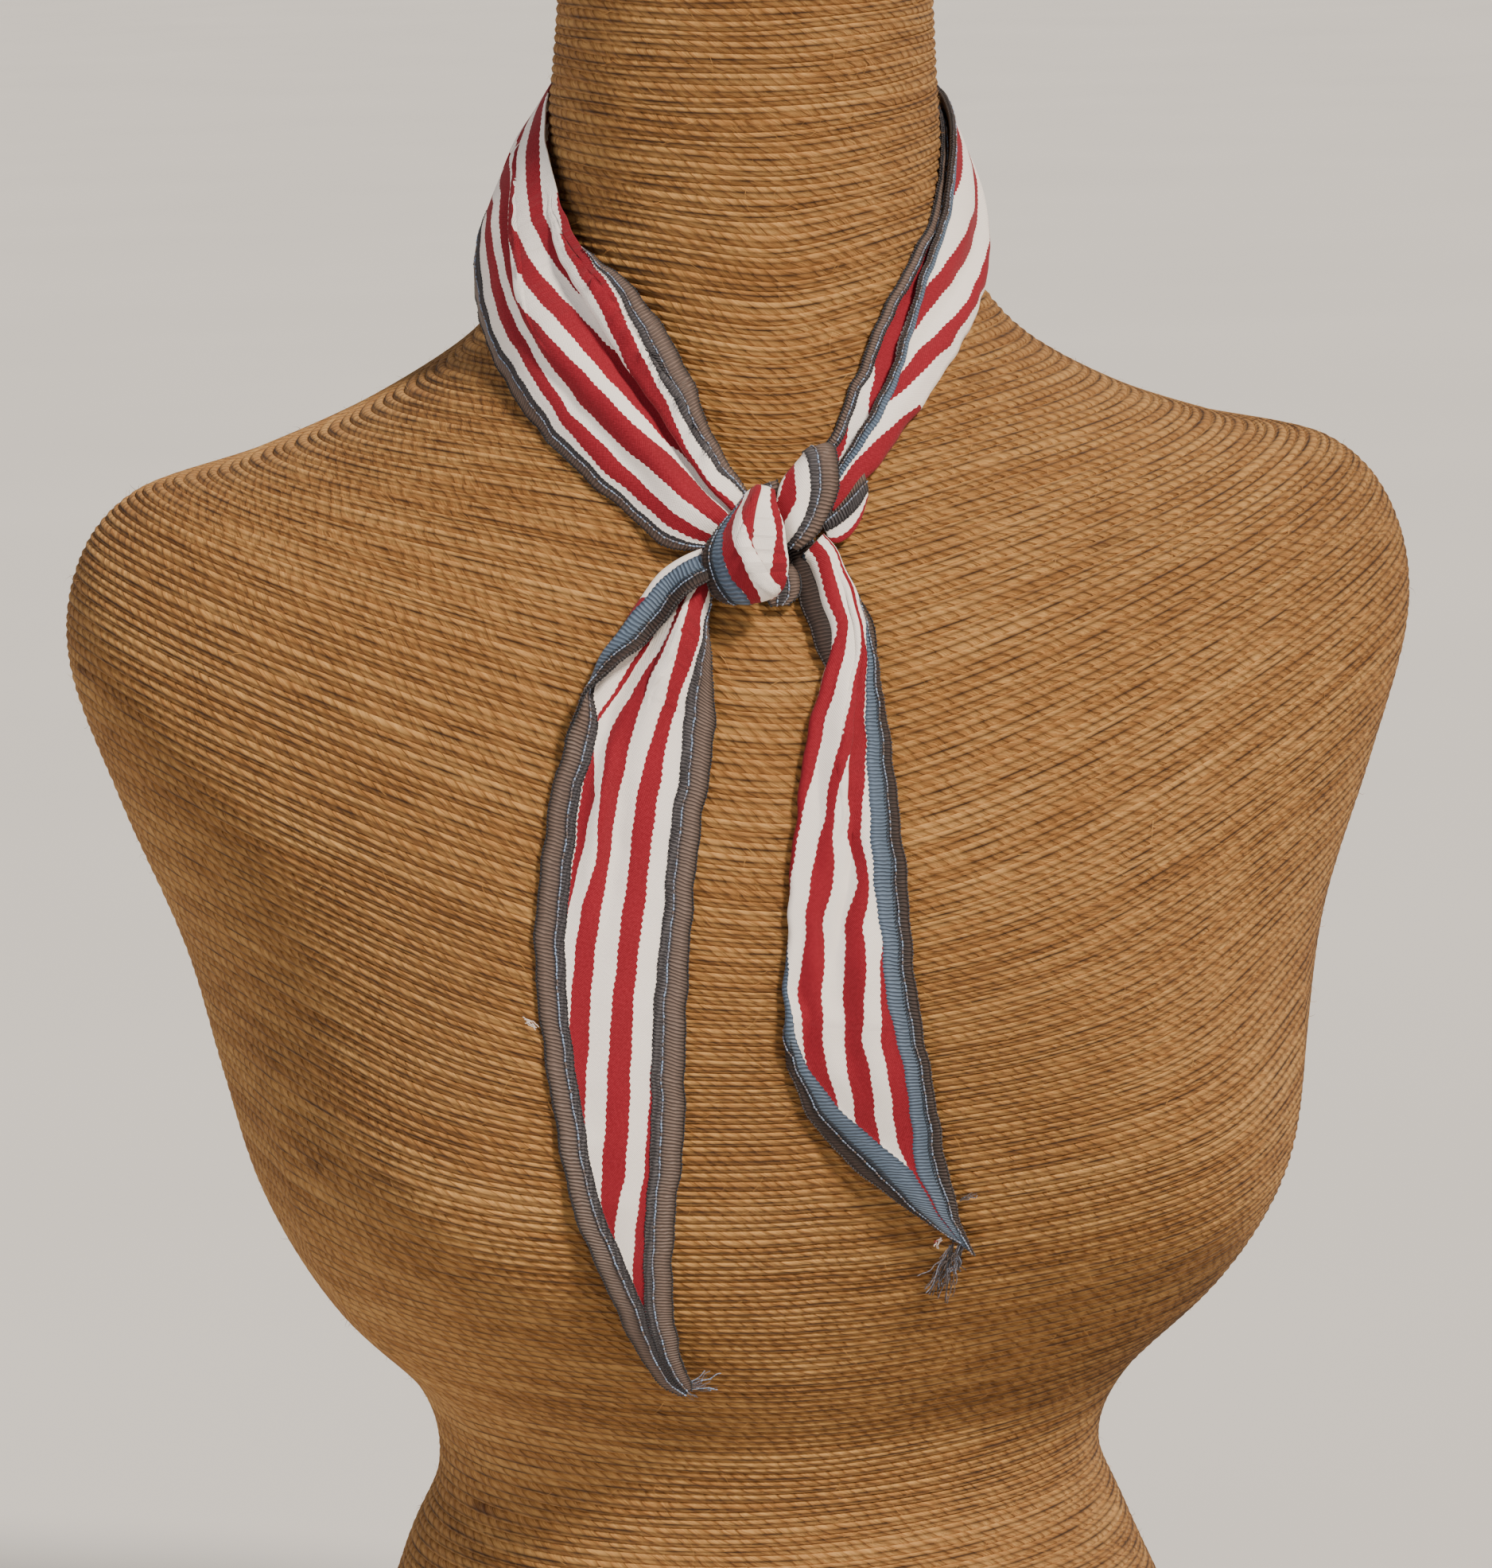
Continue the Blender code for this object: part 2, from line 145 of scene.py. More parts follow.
class Recipe:
    """A material's node tree while it is written."""

    def __init__(self, name: str) -> None:
        """Start a material with a Principled shader."""
        self.material = bpy.data.materials.new(name)
        self.material.use_nodes = True
        self.tree = self.material.node_tree
        self.shader = self.tree.nodes["Principled BSDF"]

    def add(self, kind: str, *values: object, named: dict | None = None, out: int = 0,
            **settings: object) -> bpy.types.NodeSocket:
        """Add a node with its settings and links.

        Args:
            kind: the node's type name after "ShaderNode".
            values: values or sockets for its first inputs, in their order.
            named: values or sockets for other inputs, by name or number.
            out: the output to hand back.
            settings: the node's own settings.

        Returns:
            The output socket asked for.
        """
        made = self.tree.nodes.new("ShaderNode" + kind)
        for name, value in settings.items():
            setattr(made, name, value)
        for key, value in [*enumerate(values), *(named or {}).items()]:
            self.feed(made.inputs[key], value)
        return made.outputs[out]

    def feed(self, socket: bpy.types.NodeSocket, value: object) -> None:
        """Link a socket, or set it to a value."""
        if isinstance(value, bpy.types.NodeSocket):
            self.tree.links.new(value, socket)
        else:
            socket.default_value = value

    def finish(self, **inputs: object) -> bpy.types.Material:
        """Set the shader's inputs, with _ for each space in a name.

        Args:
            inputs: values or sockets by the shader's input names.

        Returns:
            The material.
        """
        for name, value in inputs.items():
            self.feed(self.shader.inputs[name.replace("_", " ")], value)
        return self.material


def ramp(recipe: Recipe, factor: bpy.types.NodeSocket,
         stops: tuple[tuple[float, str], ...]) -> bpy.types.NodeSocket:
    """Add a colour ramp with its stops.

    Args:
        recipe: the material's recipe.
        factor: what picks the colour.
        stops: each stop's place and sRGB hex colour.

    Returns:
        The colour.
    """
    colour = recipe.add("ValToRGB", factor)
    bands = colour.node.color_ramp
    while len(bands.elements) < len(stops):
        bands.elements.new(0.5)
    for stop, (place, hex_colour) in zip(bands.elements, stops):
        stop.position = place
        stop.color = linear(hex_colour)
    return colour


@dataclass(frozen=True)
class JuteRope:
    """Two-ply jute rope, twisted and wound side by side: matt fibre with a faint sheen.

    The plies cross each winding at a slant, glue has darkened it in streaks along the windings, and painted
    shade darkens it where two windings meet and, faintly, between the plies."""

    light: str = "#C9995A"
    middle: str = "#9D6C39"
    deep: str = "#5E3B1B"
    painted_valley_shade: str = "#3A220F"
    glue: str = "#431E0A"
    ply_mm: float = 4.6
    slant: float = 1.1
    fibre_mm: float = 0.32

    def material(self) -> bpy.types.Material:
        """Write the rope's material.

        Returns:
            The material, which reads the Winding UV map: metres along the rope, and turns.
        """
        r = Recipe("jute_rope_twisted")
        place = r.add("SeparateXYZ", r.add("UVMap", uv_map="Winding"))
        turns = place.node.outputs[1]
        along = r.add("Math", place, 1000.0, operation="MULTIPLY")
        shifted = r.add("Math", turns, 0.5, operation="ADD")
        turn = r.add("Math", shifted, operation="FLOOR")
        across = r.add("Math", r.add("Math", shifted, operation="FRACT"), 0.5, operation="SUBTRACT")
        laid = r.add("CombineXYZ", along, turns, 0.0)
        by_turn = r.add("CombineXYZ", along, turn, 0.0)
        wander = r.add("TexNoise", named={"Vector": by_turn, "Scale": 0.05, "Detail": 3.0})
        ply = r.add("Math", r.add("Math", along, self.ply_mm, operation="DIVIDE"),
                    r.add("Math", across, self.slant, operation="MULTIPLY"), operation="SUBTRACT")
        ply = r.add("Math", wander, 3.2, ply, operation="MULTIPLY_ADD")
        wave = r.add("Math", r.add("Math", ply, 2 * math.pi, operation="MULTIPLY"), operation="COSINE")
        lobe = r.add("Math", wave, 0.5, 0.5, operation="MULTIPLY_ADD")
        round_lobe = r.add("Math", lobe, 0.4, operation="POWER")
        # Fibres run with the plies, so the fine noise is stretched along them.
        fibre_at = r.add("CombineXYZ",
                         r.add("Math", ply, 0.5 * self.ply_mm / self.fibre_mm, operation="MULTIPLY"),
                         r.add("Math", along, 0.16, operation="MULTIPLY"), turn)
        fibre = r.add("TexNoise", named={"Vector": fibre_at, "Scale": 1.0, "Detail": 5.0, "Roughness": 0.72})
        patch = r.add("TexNoise", named={"Vector": laid, "Scale": 0.03, "Detail": 4.0})
        tint = r.add("TexWhiteNoise", named={"W": turn}, noise_dimensions="1D")
        tone = r.add("Math", fibre, 0.85, operation="MULTIPLY")
        # The tone mixes fibre, patches, a tint for each turn and the plies' round lobes; the lobes add
        # painted shade between the plies.
        for part, share in ((patch, 0.45), (tint, 0.09), (round_lobe, 0.14)):
            tone = r.add("Math", part, share, tone, operation="MULTIPLY_ADD")
        colour = ramp(r, tone, ((0.48, self.deep), (0.72, self.middle), (0.96, self.light)))
        # Painted shade: the grooves between windings are darkened towards the valley colour, a little
        # unevenly along the rope.
        painted_groove_shade = r.add("Math", r.add("Math", across, operation="ABSOLUTE"), 2.4, operation="POWER")
        uneven = r.add("TexNoise", named={"Vector": laid, "Scale": 0.07, "Detail": 2.0})
        painted_groove_shade = r.add("Math", painted_groove_shade, r.add("MapRange", uneven, 0.35, 0.65, 3.0, 6.0),
                       operation="MULTIPLY", use_clamp=True)
        streak_at = r.add("CombineXYZ", r.add("Math", along, 0.014, operation="MULTIPLY"),
                          r.add("Math", turn, 0.83, operation="MULTIPLY"), 3.0)
        streak = r.add("TexNoise",
                       named={"Vector": streak_at, "Scale": 1.0, "Detail": 4.0, "Roughness": 0.62})
        streak = r.add("Math", r.add("MapRange", streak, 0.65, 0.71, 0.0, 0.8),
                       r.add("MapRange", fibre, 0.35, 0.6, 1.0, 0.55), operation="MULTIPLY")
        # First the painted shade in the grooves, then the real glue streaks.
        for share, dark in ((painted_groove_shade, self.painted_valley_shade), (streak, self.glue)):
            colour = r.add("Mix", share, named={6: colour, 7: linear(dark)}, out=2, data_type="RGBA")
        height = r.add("Math", r.add("Math", round_lobe, fibre, operation="ADD"), 0.8, operation="MULTIPLY")
        normal = r.add("Bump", named={"Height": height, "Distance": 0.0008, "Strength": 1.0})
        return r.finish(Base_Color=colour, Roughness=0.82, Specular_IOR_Level=0.16, Sheen_Weight=0.05,
                        Sheen_Roughness=0.55, Normal=normal)


@dataclass(frozen=True)
class StripedCotton:
    """Yarn-dyed plain-weave cotton in even red and white stripes, its edges overlocked in two colours.

    The weave shows as light flecks in the red, the stripes' borders step by one thread, and the overlocked
    band is a dense satin of thread, taupe on the front and slate blue on the reverse."""

    red: str = "#83091E"
    red_deep: str = "#6C0714"
    red_fleck: str = "#A22A38"
    white: str = "#F3EAE3"
    white_warm: str = "#E2D5CB"
    front_band: tuple[tuple[float, str], ...] = (
        (0.0, "#1E1817"), (0.09, "#4C3F38"), (0.30, "#6D5B52"), (0.55, "#62524A"), (0.66, "#353032"),
        (0.74, "#514D50"), (0.93, "#454143"), (1.0, "#18151A"))
    reverse_band: tuple[tuple[float, str], ...] = (
        (0.0, "#1B1514"), (0.12, "#3D302B"), (0.30, "#2C2523"), (0.38, "#181B24"), (0.46, "#4F5D6D"),
        (0.85, "#5E6E82"), (1.0, "#445264"))
    thread_mm: float = 0.62

    def material(self) -> bpy.types.Material:
        """Write the cloth's material.

        Returns:
            The material, which reads the stripe, edge and reverse attributes and the Thread UV map.
        """
        r = Recipe("striped_cotton_woven")
        place = r.add("SeparateXYZ", r.add("UVMap", uv_map="Thread"))
        over, down = (r.add("Math", place.node.outputs[k], 1000.0, operation="MULTIPLY") for k in (0, 1))
        stripe, edge, reverse = (r.add("Attribute", out=2, attribute_name=name)
                                 for name in ("stripe", "edge", "reverse"))
        # The borders step from thread to thread, a little coarser than the real 0.35 mm so that they show.
        tooth = r.add("Math", r.add("Math", down, 0.9, operation="PINGPONG"), 0.035, stripe,
                      operation="MULTIPLY_ADD")
        is_red = r.add("Math", r.add("Math", tooth, operation="FRACT"), 0.515, operation="LESS_THAN")
        warp, weft = (r.add("Math", r.add("Math", way, 2 * math.pi / self.thread_mm, operation="MULTIPLY"),
                            operation="SINE") for way in (over, down))
        cross = r.add("Math", r.add("Math", warp, weft, operation="MULTIPLY"), 0.5, 0.5,
                      operation="MULTIPLY_ADD")
        flat = r.add("CombineXYZ", over, down, 0.0)
        slub = r.add("TexNoise", named={"Vector": flat, "Scale": 1.3, "Detail": 3.0})
        cloud = r.add("TexNoise", named={"Vector": flat, "Scale": 0.06, "Detail": 2.0})
        fleck = r.add("Math", cross, r.add("MapRange", slub, 0.35, 0.7, 0.15, 0.75), operation="MULTIPLY")
        warm = r.add("Math", cross, 0.35, operation="MULTIPLY")
        red = r.add("Mix", cloud, named={6: linear(self.red_deep), 7: linear(self.red)}, out=2,
                    data_type="RGBA")
        red = r.add("Mix", fleck, named={6: red, 7: linear(self.red_fleck)}, out=2, data_type="RGBA")
        white = r.add("Mix", warm, named={6: linear(self.white), 7: linear(self.white_warm)}, out=2,
                      data_type="RGBA")
        cloth = r.add("Mix", is_red, named={6: white, 7: red}, out=2, data_type="RGBA")
        # The band's stitches lie across it, 0.5 mm apart in the real one and drawn at 1 mm.
        lean = r.add("TexNoise", named={"Vector": flat, "Scale": 0.25, "Detail": 2.0})
        satin = r.add("Math", lean, 1.1, down, operation="MULTIPLY_ADD")
        satin = r.add("Math", r.add("Math", satin, 2 * math.pi, operation="MULTIPLY"), operation="SINE")
        satin = r.add("Math", satin, 0.5, 0.5, operation="MULTIPLY_ADD")
        depth = r.add("Math", edge, BAND, operation="DIVIDE", use_clamp=True)
        taupe, slate = (ramp(r, depth, stops) for stops in (self.front_band, self.reverse_band))
        band = r.add("Mix", reverse, named={6: taupe, 7: slate}, out=2, data_type="RGBA")
        shade = r.add("MapRange", satin, 0.0, 1.0, 0.6, 1.18)
        band = r.add("VectorMath", band, named={3: shade}, operation="SCALE")
        bite = r.add("Math", r.add("Math", down, 0.7, operation="PINGPONG"), 0.5, operation="MULTIPLY")
        on_band = r.add("Math", r.add("Math", edge, bite, operation="SUBTRACT"), 8.3, operation="LESS_THAN")
        colour = r.add("Mix", on_band, named={6: cloth, 7: band}, out=2, data_type="RGBA")
        weave = r.add("Math", r.add("Math", cross, slub, operation="ADD"), 0.4, operation="MULTIPLY")
        ribs = r.add("Math", satin, 1.5, operation="MULTIPLY")
        height = r.add("Mix", on_band, named={2: weave, 3: ribs})
        normal = r.add("Bump", named={"Height": height, "Distance": 0.00028, "Strength": 0.9})
        rough = r.add("MapRange", on_band, 0.0, 1.0, 0.78, 0.5)
        return r.finish(Base_Color=colour, Roughness=rough, Specular_IOR_Level=0.22, Sheen_Weight=0.06,
                        Sheen_Roughness=0.5, Normal=normal)


@dataclass(frozen=True)
class OverlockThread:
    """Texturised polyester sewing thread: soft, slightly glossy, in navy, pale blue or taupe by its stitch.

    Frayed corners also shed the cloth's own white and red yarns."""

    navy: str = "#161A24"
    pale: str = "#8FA6C6"
    taupe: str = "#6F5F58"
    white: str = "#E9DED8"
    red: str = "#9C1226"

    def material(self) -> bpy.types.Material:
        """Write the thread's material.

        Returns:
            The material. It reads the tone attribute: 0 navy, 0.5 taupe, 1 pale blue, 1.3 white, 1.6 red.
        """
        r = Recipe("overlock_thread_polyester")
        tone = r.add("Math", r.add("Attribute", out=2, attribute_name="tone"), 2.0, operation="DIVIDE")
        colour = ramp(r, tone, ((0.0, self.navy), (0.25, self.taupe), (0.5, self.pale), (0.65, self.white),
                                (0.8, self.red)))
        spun = r.add("TexNoise", named={"Scale": 2600.0, "Detail": 2.0})
        shade = r.add("MapRange", spun, 0.0, 1.0, 0.7, 1.3)
        colour = r.add("VectorMath", colour, named={3: shade}, operation="SCALE")
        normal = r.add("Bump", named={"Height": spun, "Distance": 0.0001, "Strength": 0.6})
        return r.finish(Base_Color=colour, Roughness=0.52, Specular_IOR_Level=0.45, Sheen_Weight=0.1,
                        Normal=normal)


@dataclass(frozen=True)
class GreyBoard:
    """Pressed grey board: a matt, faintly flecked sheet that closes the form's underside."""

    colour: str = "#A58E6C"

    def material(self) -> bpy.types.Material:
        """Write the board's material.

        Returns:
            The material.
        """
        r = Recipe("pressed_board")
        speck = r.add("TexNoise", named={"Scale": 420.0, "Detail": 4.0})
        colour = ramp(r, speck, ((0.35, "#8A7454"), (0.7, self.colour)))
        normal = r.add("Bump", named={"Height": speck, "Distance": 0.0002, "Strength": 0.4})
        return r.finish(Base_Color=colour, Roughness=0.9, Normal=normal)


@dataclass(frozen=True)
class StudioPaint:
    """Matt emulsion on the studio floor: pale and even, with a trace of roller texture."""

    colour: str = "#DAD7D2"

    def material(self) -> bpy.types.Material:
        """Write the floor's material.

        Returns:
            The material.
        """
        r = Recipe("studio_floor_paint")
        roller = r.add("TexNoise", named={"Scale": 60.0, "Detail": 2.0})
        colour = ramp(r, roller, ((0.3, "#D6D3CE"), (0.7, self.colour)))
        return r.finish(Base_Color=colour, Roughness=0.85)


# Meshes


def grid_faces(long: int, wide: int, base: int = 0, flip: bool = False) -> np.ndarray:
    """Quads of a grid of points laid row by row.

    Args:
        long: how many rows.
        wide: how many points a row.
        base: the first point's number.
        flip: whether the faces look the other way.

    Returns:
        Four point numbers for each quad.
    """
    i, k = np.meshgrid(np.arange(long - 1), np.arange(wide - 1), indexing="ij")
    a = (base + i * wide + k).ravel()
    quads = np.stack([a, a + 1, a + wide + 1, a + wide], 1)
    return quads[:, ::-1] if flip else quads


def mesh_object(name: str, points: np.ndarray, faces: np.ndarray, material: bpy.types.Material,
                values: dict[str, np.ndarray] | None = None,
                uv: tuple[str, np.ndarray] | None = None) -> bpy.types.Object:
    """Make a smooth-shaded object from arrays.

    Args:
        name: the object's name.
        points: places in millimetres, a row each.
        faces: point numbers, with -1 for a triangle's missing fourth.
        material: its finish.
        values: numbers for each point, by attribute name.
        uv: a map's name and its two numbers for each point.

    Returns:
        The object, linked to the scene.
    """
    faces = np.asarray(faces, np.int64)
    counts = np.where(faces[:, -1] < 0, 3, faces.shape[1]).astype(np.int32)
    corners = faces.ravel()[(faces >= 0).ravel()].astype(np.int32)
    mesh = bpy.data.meshes.new(name)
    mesh.vertices.add(len(points))
    mesh.vertices.foreach_set("co", (np.asarray(points, float) * MM).astype(np.float32).ravel())
    mesh.loops.add(len(corners))
    mesh.loops.foreach_set("vertex_index", corners)
    mesh.polygons.add(len(counts))
    mesh.polygons.foreach_set("loop_start", np.concatenate([[0], np.cumsum(counts)[:-1]]).astype(np.int32))
    mesh.polygons.foreach_set("loop_total", counts)
    for key, numbers in (values or {}).items():
        layer = mesh.attributes.new(key, "FLOAT", "POINT")
        layer.data.foreach_set("value", np.asarray(numbers, np.float32).ravel())
    if uv:
        layer = mesh.uv_layers.new(name=uv[0])
        layer.data.foreach_set("uv", np.asarray(uv[1], np.float32)[corners].ravel())
    mesh.update(calc_edges=True)
    mesh.validate()
    mesh.shade_smooth()
    mesh.materials.append(material)
    made = bpy.data.objects.new(name, mesh)
    bpy.context.scene.collection.objects.link(made)
    return made


def unit(vectors: np.ndarray) -> np.ndarray:
    """Scale vectors to a length of one."""
    return vectors / np.maximum(np.linalg.norm(vectors, axis=-1, keepdims=True), 1e-9)


def way_along(line: np.ndarray) -> np.ndarray:
    """How far along a line of points each of them lies."""
    return np.concatenate([[0], np.cumsum(np.linalg.norm(np.diff(line, axis=0), axis=-1))])


def grid_normals(points: np.ndarray) -> np.ndarray:
    """Normals of a grid of points, from its neighbours along and across.

    Args:
        points: an array of rows, points and three numbers.

    Returns:
        A unit vector for each point.
    """
    down = np.empty_like(points)
    over = np.empty_like(points)
    down[1:-1], down[0], down[-1] = points[2:] - points[:-2], points[1] - points[0], points[-1] - points[-2]
    over[:, 1:-1] = points[:, 2:] - points[:, :-2]
    over[:, 0], over[:, -1] = points[:, 1] - points[:, 0], points[:, -1] - points[:, -2]
    return unit(np.cross(over, down))


@dataclass
class Rods:
    """Many short thread stitches or fibres, gathered into one mesh."""

    sides: int = 4
    starts: list[np.ndarray] = field(default_factory=list)
    ends: list[np.ndarray] = field(default_factory=list)
    radii: list[np.ndarray] = field(default_factory=list)
    tones: list[np.ndarray] = field(default_factory=list)

    def lay(self, starts: np.ndarray, ends: np.ndarray, radius: float, tone: float | np.ndarray) -> None:
        """Add rods from starts to ends.

        Args:
            starts: where each starts.
            ends: where each ends.
            radius: how thick they are.
            tone: the thread's tone, one or one for each.
        """
        self.starts.append(starts)
        self.ends.append(ends)
        self.radii.append(np.full(len(starts), radius))
        self.tones.append(np.broadcast_to(np.asarray(tone, float), (len(starts),)))

    def mesh(self, name: str, material: bpy.types.Material) -> bpy.types.Object:
        """Build the rods, fat in the middle and blunt at the ends.

        Args:
            name: the object's name.
            material: its finish.

        Returns:
            The object.
        """
        start, end = np.vstack(self.starts), np.vstack(self.ends)
        radius, tone = np.concatenate(self.radii), np.concatenate(self.tones)
        ahead = unit(end - start)
        side = unit(np.cross(ahead, np.where(np.abs(ahead[:, 2:]) < 0.8, [[0, 0, 1]], [[1, 0, 0]])))
        up = np.cross(ahead, side)
        rings = ((0.0, 0.45), (0.3, 1.0), (0.7, 1.0), (1.0, 0.45))
        turn = 2 * np.pi * np.arange(self.sides) / self.sides
        points = []
        for share, wide in rings:
            middle = start + (end - start) * share
            ring = side[:, None] * np.cos(turn)[None, :, None] + up[:, None] * np.sin(turn)[None, :, None]
            points.append(middle[:, None] + ring * (radius * wide)[:, None, None])
        points = np.stack(points, 1)
        count, per = len(start), len(rings) * self.sides
        base = (np.arange(count) * per)[:, None, None]
        r, s = np.meshgrid(np.arange(len(rings) - 1), np.arange(self.sides), indexing="ij")
        nxt = (s + 1) % self.sides
        quad = np.stack([r * self.sides + s, r * self.sides + nxt, (r + 1) * self.sides + nxt,
                         (r + 1) * self.sides + s], -1).reshape(-1, 4)
        faces = [base + quad[None]]
        fan = np.array([(0, i + 1, i, -1) for i in range(1, self.sides - 1)])
        last = (len(rings) - 1) * self.sides
        cap = np.array([(last, last + i, last + i + 1, -1) for i in range(1, self.sides - 1)])
        for tri in (fan, cap):
            block = base + tri[None]
            block[:, :, 3] = -1
            faces.append(block)
        faces = np.concatenate([f.reshape(-1, 4) for f in faces])
        return mesh_object(name, points.reshape(-1, 3), faces, material, {"tone": np.repeat(tone, per)})


# The form


@dataclass
class RopeForm:
    """The dress form: one rope wound round it from the middle of its flat top to its foot."""

    pitch: float = 2.8
    around: int = 132
    across: tuple[float, ...] = (-0.5, -0.33, 0.0, 0.33, 0.5)
    sunk: float = 0.15
    wobble: float = 0.16
    sag: float = 62.0
    sag_round: float = 0.03
    sag_power: float = 0.625
    rings: Table = Table(
        "lean wide middle front back z_front z_side z_back",
        (
            (5, 2.5, 2, -1, 5, 616, 616, 616), (5, 40, 2, -38, 42, 616, 616, 616),
            (5, 49, 2, -48, 54, 612, 613, 614), (5, 52, 2, -50, 57, 600, 602, 604),
            (5, 53, 3, -50, 59, 578, 581, 584), (4, 55, 5, -51, 63, 548, 553, 558),
            (4, 57, 8, -53, 68, 518, 526, 536), (3, 65, 11, -57, 75, 494, 504, 520),
            (2, 82, 13, -65, 82, 474, 484, 504), (1, 112, 14, -75, 91, 452, 467, 486),
            (0, 144, 13, -86, 98, 426, 456, 467), (0, 173, 11, -96, 103, 398, 449, 446),
            (0, 189, 9, -104, 106, 368, 431, 420), (0, 193, 7, -109, 107, 338, 403, 392),
            (0, 181, 4, -110, 106, 310, 364, 360), (0, 165, 1, -106, 102, 282, 322, 324),
            (0, 156, -1, -101, 97, 252, 286, 290), (0, 147, -3, -96, 90, 228, 254, 258),
            (0, 130, -4, -88, 82, 204, 222, 226), (0, 105, -2, -79, 75, 182, 191, 194),
            (-2, 97, 0, -76, 74, 160, 163, 165), (-3, 107, 2, -83, 80, 134, 136, 137),
            (-1, 129, 3, -98, 96, 78, 78, 78), (0, 144, 4, -109, 111, 24, 24, 24),
            (0, 146, 4, -110, 112, 5, 5, 5), (0, 142, 4, -106, 108, 1.5, 1.5, 1.5),
        ))
    bust_apex: tuple[float, float] = (84, 268)
    bust_radius: float = 60
    bust_depth: float = 30
    bust_spread: float = 0.65
    bust_fade: float = 40
    fibre_count: int = 5200
    fibre_width: float = 0.055
    board_around: int = 128
    parts: tuple[tuple[str, float, float], ...] = (
        ("rope_neck", 0.0, 0.25), ("rope_shoulders", 0.25, 0.50), ("rope_chest", 0.50, 0.75),
        ("rope_foot", 0.75, 1.0))

    def places(self, row: np.ndarray, angle: np.ndarray) -> np.ndarray:
        """Points of the form's surface.

        Args:
            row: places down the table of rings.
            angle: angles round the form, in radians.

        Returns:
            The points.
        """
        ring = self.rings.smooth(row)
        side, deep = np.cos(angle), np.sin(angle)
        reach = np.where(deep > 0, ring["back"] - ring["middle"], ring["middle"] - ring["front"])
        z_end = np.where(deep > 0, ring["z_back"], ring["z_front"])
        x = ring["lean"] + ring["wide"] * side
        y = ring["middle"] + reach * deep
        z = ring["z_side"] + (z_end - ring["z_side"]) * deep * deep
        off = np.hypot(np.abs(x) - self.bust_apex[0], z - self.bust_apex[1]) / self.bust_radius
        swell = self.bust_depth * np.exp(-off * off) * np.clip(-2 * deep, 0, 1)
        x = x + np.sign(x) * self.bust_spread * swell * np.minimum(1, np.abs(x) / self.bust_fade)
        return np.stack([x, y - swell, z], -1)

    def turn_rows(self) -> tuple[np.ndarray, np.ndarray]:
        """Match turns of the rope to places in the table.

        Returns:
            Turn numbers and the table's rows that they fall on.
        """
        rows = np.linspace(0, len(self.rings.rows) - 1, 1200)
        angles = np.linspace(0, 2 * np.pi, 16, endpoint=False)
        lines = self.places(rows[:, None], angles[None])
        steps = np.linalg.norm(np.diff(lines, axis=0), axis=-1).mean(1)
        return np.concatenate([[0], np.cumsum(steps)]) / self.pitch, rows

    def sagging(self, turn: np.ndarray, last: float, angle: np.ndarray) -> np.ndarray:
        """How many turns higher the windings run beside the chest's middle than the rings do.

        Args:
            turn: turn numbers.
            last: the last turn's number.
            angle: angles round the form.

        Returns:
            Shifts, in turns.
        """
        over = np.abs(np.cos(angle))
        low, power = self.sag_round, self.sag_power
        soft = ((over * over + low) ** power - low ** power) / ((1 + low) ** power - low ** power)
        where = np.interp(turn / last, (0.15, 0.30, 0.42, 0.66, 0.76), (0.0, 0.7, 1.0, 0.8, 0.0))
        return where * self.sag / self.pitch * (soft - over ** 2) * (np.sin(angle) < 0)

    def build(self) -> list[bpy.types.Object]:
        """Wind the rope round the form.

        Returns:
            One object for each part of the winding.
        """
        turns, rows = self.turn_rows()
        rope = JuteRope().material()
        made = []
        for name, first, last in self.parts:
            start, end = (round(share * turns[-1]) for share in (first, last))
            turn = (np.arange(start * self.around, end * self.around + 1) / self.around)[:, None]
            angle = 2 * np.pi * turn + 0.5 * np.pi
            v = np.asarray(self.across)
            at = turn + v
            swing = self.wobble * (np.sin(2 * angle + 1.9 * at) * 0.6 + np.sin(5 * angle - 0.7 * at) * 0.4)
            spot = np.interp(at + swing - self.sagging(at, turns[-1], angle), turns, rows)
            base = self.places(spot, angle)
            down, over = self.places(spot + 0.02, angle) - base, self.places(spot, angle + 0.002) - base
            normal = unit(np.cross(down, over))
            outward = base * [1, 1, 0] - [0, 5, 0]
            facing = np.where((normal * outward).sum(-1, keepdims=True) < 0, -1.0, 1.0)
            upright = np.sign(normal[..., 2:]) * np.sign(base[..., 2:] - 300)
            normal = normal * np.where(np.abs(normal[..., 2:]) > 0.97, upright, facing)
            radius = self.pitch / 2
            thick = 1 + 0.05 * np.sin(7 * angle + 2.3 * turn) + 0.04 * np.sin(13 * angle)
            curve = np.sqrt(np.maximum(radius ** 2 - (v * self.pitch * 0.94) ** 2, 0)) - radius
            lift = curve[None] * thick - self.sunk
            points = base + normal * lift[..., None]
            run = way_along(base[:, 2])
            uv = np.stack([np.broadcast_to((run * MM)[:, None], at.shape), at], -1).reshape(-1, 2)
            faces = grid_faces(len(turn), len(v), flip=True)
            made.append(mesh_object(name, points.reshape(-1, 3), faces, rope, uv=("Winding", uv)))
            LOG.info("%s: %d turns, %d quads", name, end - start, len(faces))
        made.append(self.fibres(rope, turns, rows))
        made.append(self.board())
        return made

